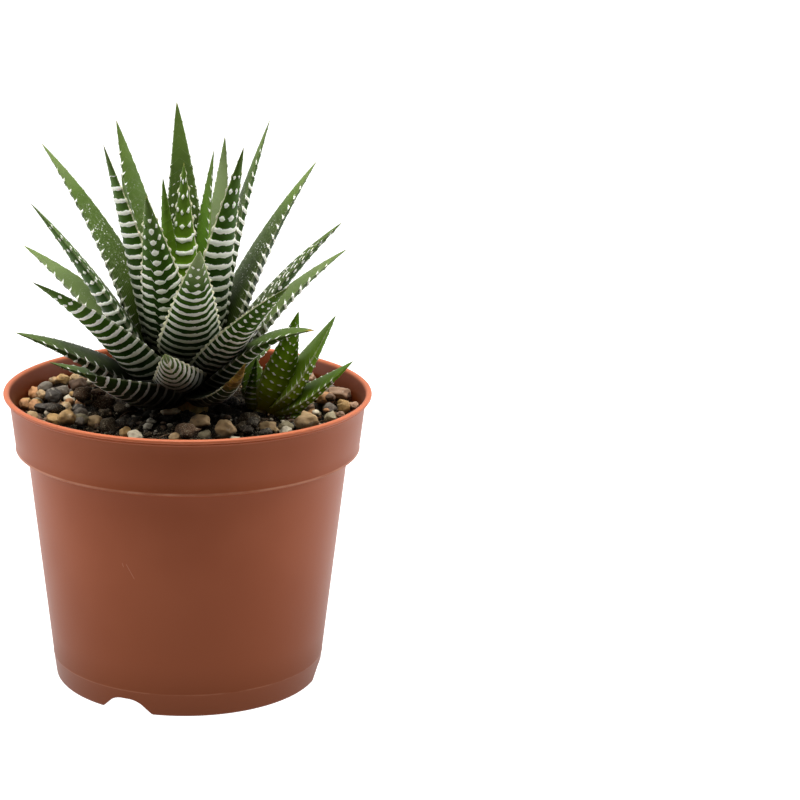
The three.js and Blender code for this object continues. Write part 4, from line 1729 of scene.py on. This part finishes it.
    def lay_seen(self, shapes: Sequence[Obj], seen: Sequence[Seen], studio: Studio) -> list[Laid]:
        """Lays the stones that the photograph shows, each down its own line of sight onto what is below.

        Args:
            shapes: what to copy from.
            seen: the stones.
            studio: gives the lines of sight.

        Returns:
            The stones' places and objects.
        """
        laid = []
        for stone in seen:
            radius, height = stone.size / 2, self.height + 3
            for _ in range(self.settle_steps):
                x, y, _ = studio.on_ray((stone.u, stone.v), height)
                reach = self.wall_reach - radius * self.girth - 0.15
                pull = min(1.0, reach / max(math.hypot(x, y), TINY))
                x, y = x * pull, y * pull
                height = 0.5 * height + 0.5 * self.rest_height(x, y, radius, stone.tall)
            height = min(height, self.brim - radius * stone.tall)
            laid.append(self.lay(shapes, np.array([x, y, height]), (radius, stone.tall), stone.colour))
        return laid

    def drawn_radius(self, sizes: Pair, power: float = 1.0) -> float:
        """Draws a radius between two widths; a power above 1 draws more small ones."""
        return (sizes[0] + (sizes[1] - sizes[0]) * self.draw.random() ** power) / 2

    def fill_beds(self, shapes: Sequence[Obj], tries: int, sizes: Pair, brim: float) -> list[Laid]:
        """Drops stones at random on the beds where they fit.

        Args:
            shapes: what to copy from.
            tries: how many are dropped.
            sizes: the smallest and the largest width.
            brim: the height that none may pass.

        Returns:
            The places and objects of those that fit.
        """
        laid = []
        for _ in range(tries):
            x, y = self.spot(start=28, span=self.wall_reach - 28, power=0.6)
            radius = self.drawn_radius(sizes)
            tall = self.drawn(least=0.7, span=0.25)
            in_wall = math.hypot(x, y) + radius * self.girth >= self.wall_reach - 0.1
            if in_wall or not self.bed_at(x, y):
                continue
            height = self.rest_height(x, y, radius, tall)
            if height + radius * tall > brim:
                continue
            colour = self.one_of(self.gravel_colours)
            laid.append(self.lay(shapes, np.array([x, y, height]), (radius, tall), colour))
        return laid

    def scatter(
        self, shapes: Sequence[Obj], count: int, sizes: Pair, palette: Sequence[Stone], sink: float
    ) -> list[Obj]:
        """Strews crumbs over the open soil, partly sunk in it.

        Args:
            shapes: what to copy from.
            count: how many are strewn.
            sizes: the smallest and the largest width.
            palette: their colours.
            sink: how far they sink, as a share of their height.

        Returns:
            The crumbs.
        """
        crumbs = []
        for _ in range(count):
            x, y = self.spot(start=4, span=self.pot.inner_radius(self.height) - 5.5, power=0.5)
            radius = self.drawn_radius(sizes, power=2)
            large = [(p, other) for p, other in self.laid if other > self.clear_of]
            near = any(math.hypot(x - p[0], y - p[1]) < other * self.keep_off for p, other in large)
            if near or (self.bed_at(x, y) and self.draw.random() < self.bare_beds):
                continue
            tall = self.drawn(least=0.45, span=0.4)
            place = np.array([x, y, float(self.top(x, y)) + radius * tall * (1 - sink)])
            colour = self.one_of(palette)
            crumbs.append(self.lay(shapes, place, (radius, tall), colour)[1])
            self.laid.pop()
        return crumbs

    def fibres(self, count: int, material: Material) -> Obj:
        """Strews short curved root fibres over the soil.

        Args:
            count: how many.
            material: their finish.

        Returns:
            One piece of them all.
        """
        made = []
        for _ in range(count):
            x, y = self.spot(start=8, span=34, power=0.5)
            length = self.drawn(least=4, span=7)
            bend = (self.draw.random() - 0.5) * self.fibre_bend
            heading = self.draw.random() * math.tau
            deselect()
            bpy.ops.mesh.primitive_cylinder_add(
                vertices=6, radius=self.fibre_radius * MM, depth=length * MM
            )
            fibre = newest("fibre")
            bpy.ops.object.mode_set(mode="EDIT")
            for level in self.fibre_cuts:
                bpy.ops.mesh.select_all(action="SELECT")
                bpy.ops.mesh.bisect(plane_co=(0, 0, level * length * MM), plane_no=(0, 0, 1))
            bpy.ops.object.mode_set(mode="OBJECT")
            local = points_of(fibre) / MM
            run = local[:, 2]
            turned = heading + bend * run / length
            px = x + run * np.cos(turned) - local[:, 0] * np.sin(turned)
            py = y + run * np.sin(turned) + local[:, 0] * np.cos(turned)
            arch = self.fibre_arch * np.cos(math.pi * run / length)
            pz = self.top(x, y) + self.fibre_rise + arch + local[:, 1]
            move_points(fibre, np.stack([px, py, pz], -1) * MM)
            colour = Stone.BARK if self.draw.random() < self.bark_share else Stone.BROWN
            keep_colour(fibre, "stone", colour.value)
            made.append(fibre)
        return dress(join(made, "root_fibres"), material)

    def build(self, studio: Studio) -> None:
        """Lays the soil, the gravel beds, the single stones and the crumbs.

        Args:
            studio: gives the line of sight of what the photograph shows.
        """
        self.build_soil(SoilFinish())
        gravel, crumb = StoneFinish().make(), CrumbFinish().make()
        round_shapes = self.stone_shapes(count=7, detail=4, rough=0.26, facets=13)
        small_shapes = self.stone_shapes(count=4, detail=2, rough=0.2, facets=6)
        rough_shapes = self.stone_shapes(count=6, detail=3, rough=0.42, facets=9)
        chip_shapes = self.stone_shapes(count=5, detail=2, rough=0.4, facets=10)

        stones = self.fill_beds(small_shapes, tries=300, sizes=(3.0, 4.4), brim=self.height + 3.6)
        stones += self.lay_seen(round_shapes, SEEN_STONES, studio)
        stones += self.fill_beds(round_shapes, tries=420, sizes=(3.6, 6.4), brim=self.height + 5.8)
        stones += self.fill_beds(small_shapes, tries=200, sizes=(1.6, 3.0), brim=self.height + 4.6)
        self.share_out(stones, gravel)

        clods = [obj for _, obj in self.lay_seen(rough_shapes, SEEN_CLODS, studio)]
        dark, light = self.dark_crumbs, self.light_crumbs
        clods += self.scatter(rough_shapes, count=120, sizes=(2.6, 5.6), palette=dark, sink=0.35)
        dress(join(clods, "soil_clods"), crumb, crease=self.crease)
        crumbs = self.scatter(chip_shapes, count=900, sizes=(0.9, 2.4), palette=dark, sink=0.2)
        crumbs += self.scatter(chip_shapes, count=240, sizes=(0.8, 2.6), palette=light, sink=0.2)
        dress(join(crumbs, "soil_crumbs"), crumb, crease=self.crease)
        self.fibres(count=26, material=crumb)
        for shape in (*round_shapes, *small_shapes, *rough_shapes, *chip_shapes):
            bpy.data.objects.remove(shape)

    def share_out(self, stones: Sequence[Laid], material: Material) -> None:
        """Joins the stones into a piece for each bed and for each single stone's node.

        Args:
            stones: each stone's place and object.
            material: the gravel's finish.
        """
        groups: dict[str, list[Obj]] = {}
        for (x, y, _), obj in stones:
            node = self.bed_at(x, y) or min(self.singles, key=lambda name: self._apart(name, x, y))
            groups.setdefault(node, []).append(obj)
        for node, members in groups.items():
            dress(join(members, node.replace("pebble", "stone")), material, [node])

    @staticmethod
    def _apart(name: str, x: float, y: float) -> float:
        """Distance from a place to the middle of a node."""
        middle = sum(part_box(name), Vector()) / 2 / MM
        return math.hypot(middle.x - x, middle.y - y)


# Studio


@dataclass
class Studio:
    """The camera at the photograph's viewing angle, soft light and a pale floor."""

    eye: Triple = (0.0, -683.4, 273.43)
    lens: float = 111.0
    sensor: float = 36.0
    pitch: float = 15.683
    turn: float = 4.897
    frame: float = 800.0
    room_glow: float = 0.775
    front_glow: float = 0.125
    box_side: float = 0.5
    aim: Triple = (0.0, 0.0, 0.08)
    floor_side: float = 40.0

    def axes(self) -> tuple[Array, Array, Array]:
        """Directions of the camera.

        Returns:
            Right, up and forward.
        """
        pitch, turn = math.radians(self.pitch), math.radians(self.turn)
        ahead = np.array([0, math.cos(pitch), -math.sin(pitch)])
        right = np.array([1.0, 0, 0])
        up = np.array([0, math.sin(pitch), math.cos(pitch)])
        forward = ahead * math.cos(turn) + right * math.sin(turn)
        return right * math.cos(turn) - ahead * math.sin(turn), up, forward

    def on_ray(self, pixel: Pair, height: float) -> Array:
        """Follows the line of sight through a pixel.

        Args:
            pixel: its place across and down.
            height: where the line stops.

        Returns:
            The point, in millimetres.
        """
        right, up, forward = self.axes()
        focal = self.lens / self.sensor * self.frame
        u, v = pixel
        ray = forward + right * (u - self.frame / 2) / focal + up * (self.frame / 2 - v) / focal
        eye = np.array(self.eye)
        return eye + ray * (height - eye[2]) / ray[2]

    def place_camera(self) -> None:
        """Makes the camera and gives it to the scene."""
        right, up, forward = self.axes()
        deselect()
        bpy.ops.object.camera_add()
        camera = bpy.context.active_object
        camera.name = "camera"
        camera.data.lens, camera.data.sensor_width = self.lens, self.sensor
        rows = np.eye(4)
        rows[:3, :3] = np.stack([right, up, -forward], -1)
        rows[:3, 3] = np.array(self.eye) * MM
        camera.matrix_world = Matrix(rows.tolist())
        bpy.context.scene.camera = camera

    def lamp(self, name: str, place: Triple, watts: float) -> None:
        """Adds a square softbox that faces the plant.

        Args:
            name: its name.
            place: where it stands, in metres.
            watts: its power.
        """
        deselect()
        bpy.ops.object.light_add(type="AREA", location=place)
        lamp = bpy.context.active_object
        lamp.name = name
        lamp.data.shape, lamp.data.size, lamp.data.energy = "SQUARE", self.box_side, watts
        lamp.rotation_euler = (Vector(self.aim) - Vector(place)).to_track_quat("-Z", "Y").to_euler()

    def surroundings(self) -> bpy.types.World:
        """A white room that is darker in front of the plant, where the camera stands.

        Returns:
            The world.
        """
        graph = Graph(bpy.data.worlds.new("studio"))
        towards_back = graph.parts(graph.coordinate("Generated"))[1]
        strength = self.front_glow + (self.room_glow - self.front_glow) * towards_back.step(-0.9, 0.1)
        inputs = {"Color": (1.0, 1.0, 1.0), "Strength": strength}
        surface = {"Surface": graph.value("ShaderNodeBackground", None, inputs)}
        graph.node("ShaderNodeOutputWorld", None, surface)
        return graph.owner

    def build(self) -> None:
        """Lights the scene and lays the floor."""
        scene = bpy.context.scene
        scene.view_settings.view_transform = "Standard"
        scene.view_settings.look = "None"
        scene.world = self.surroundings()
        self.lamp("left_box", place=(-0.8, 0.1, 0.4), watts=4.0)
        self.lamp("right_box", place=(0.8, 0.1, 0.4), watts=3.3)
        self.lamp("top_box", place=(0.0, -0.05, 0.9), watts=10.4)
        deselect()
        bpy.ops.mesh.primitive_plane_add(size=self.floor_side)
        floor = newest("studio_floor")
        floor.data.materials.append(FloorFinish().make())


def grow(crown: Crown, rows: Iterable[Leaf], finish_of: Callable[[Leaf], LeafFinish]) -> None:
    """Builds a rosette's leaves.

    Args:
        crown: the growing point.
        rows: the leaves.
        finish_of: gives a leaf's skin.
    """
    skins: dict[str, Material] = {}
    for row in rows:
        finish = finish_of(row)
        if finish.slot not in skins:
            skins[finish.slot] = finish.make()
        row.build(crown, skins[finish.slot], finish.slot)


def main() -> None:
    """Builds the whole potted plant and its studio."""
    logging.basicConfig(level=logging.INFO, format="%(name)s: %(message)s")
    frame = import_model()
    deselect()

    studio = Studio()
    studio.place_camera()
    studio.build()

    pot = Pot()
    pot.build(PotPlastic())
    singles = [name for name in frame["nodes"] if name.startswith("front_pebble_")]
    Ground(pot, singles).build(studio)

    grow(MAIN_CROWN, leaf_rows(), lambda row: YOUNG if row.name.startswith("heart") else MATURE)
    grow(OFFSET_CROWN, offset_rows(), lambda row: OFFSET)
    stem = StemFinish().make()
    for name in ("stem", "offset_stem"):
        node = frame["nodes"][name]
        node.data.materials.clear()
        node.data.materials.append(stem)
        log.info("%s keeps its frame mesh", name)


if __name__ == "__main__":
    main()
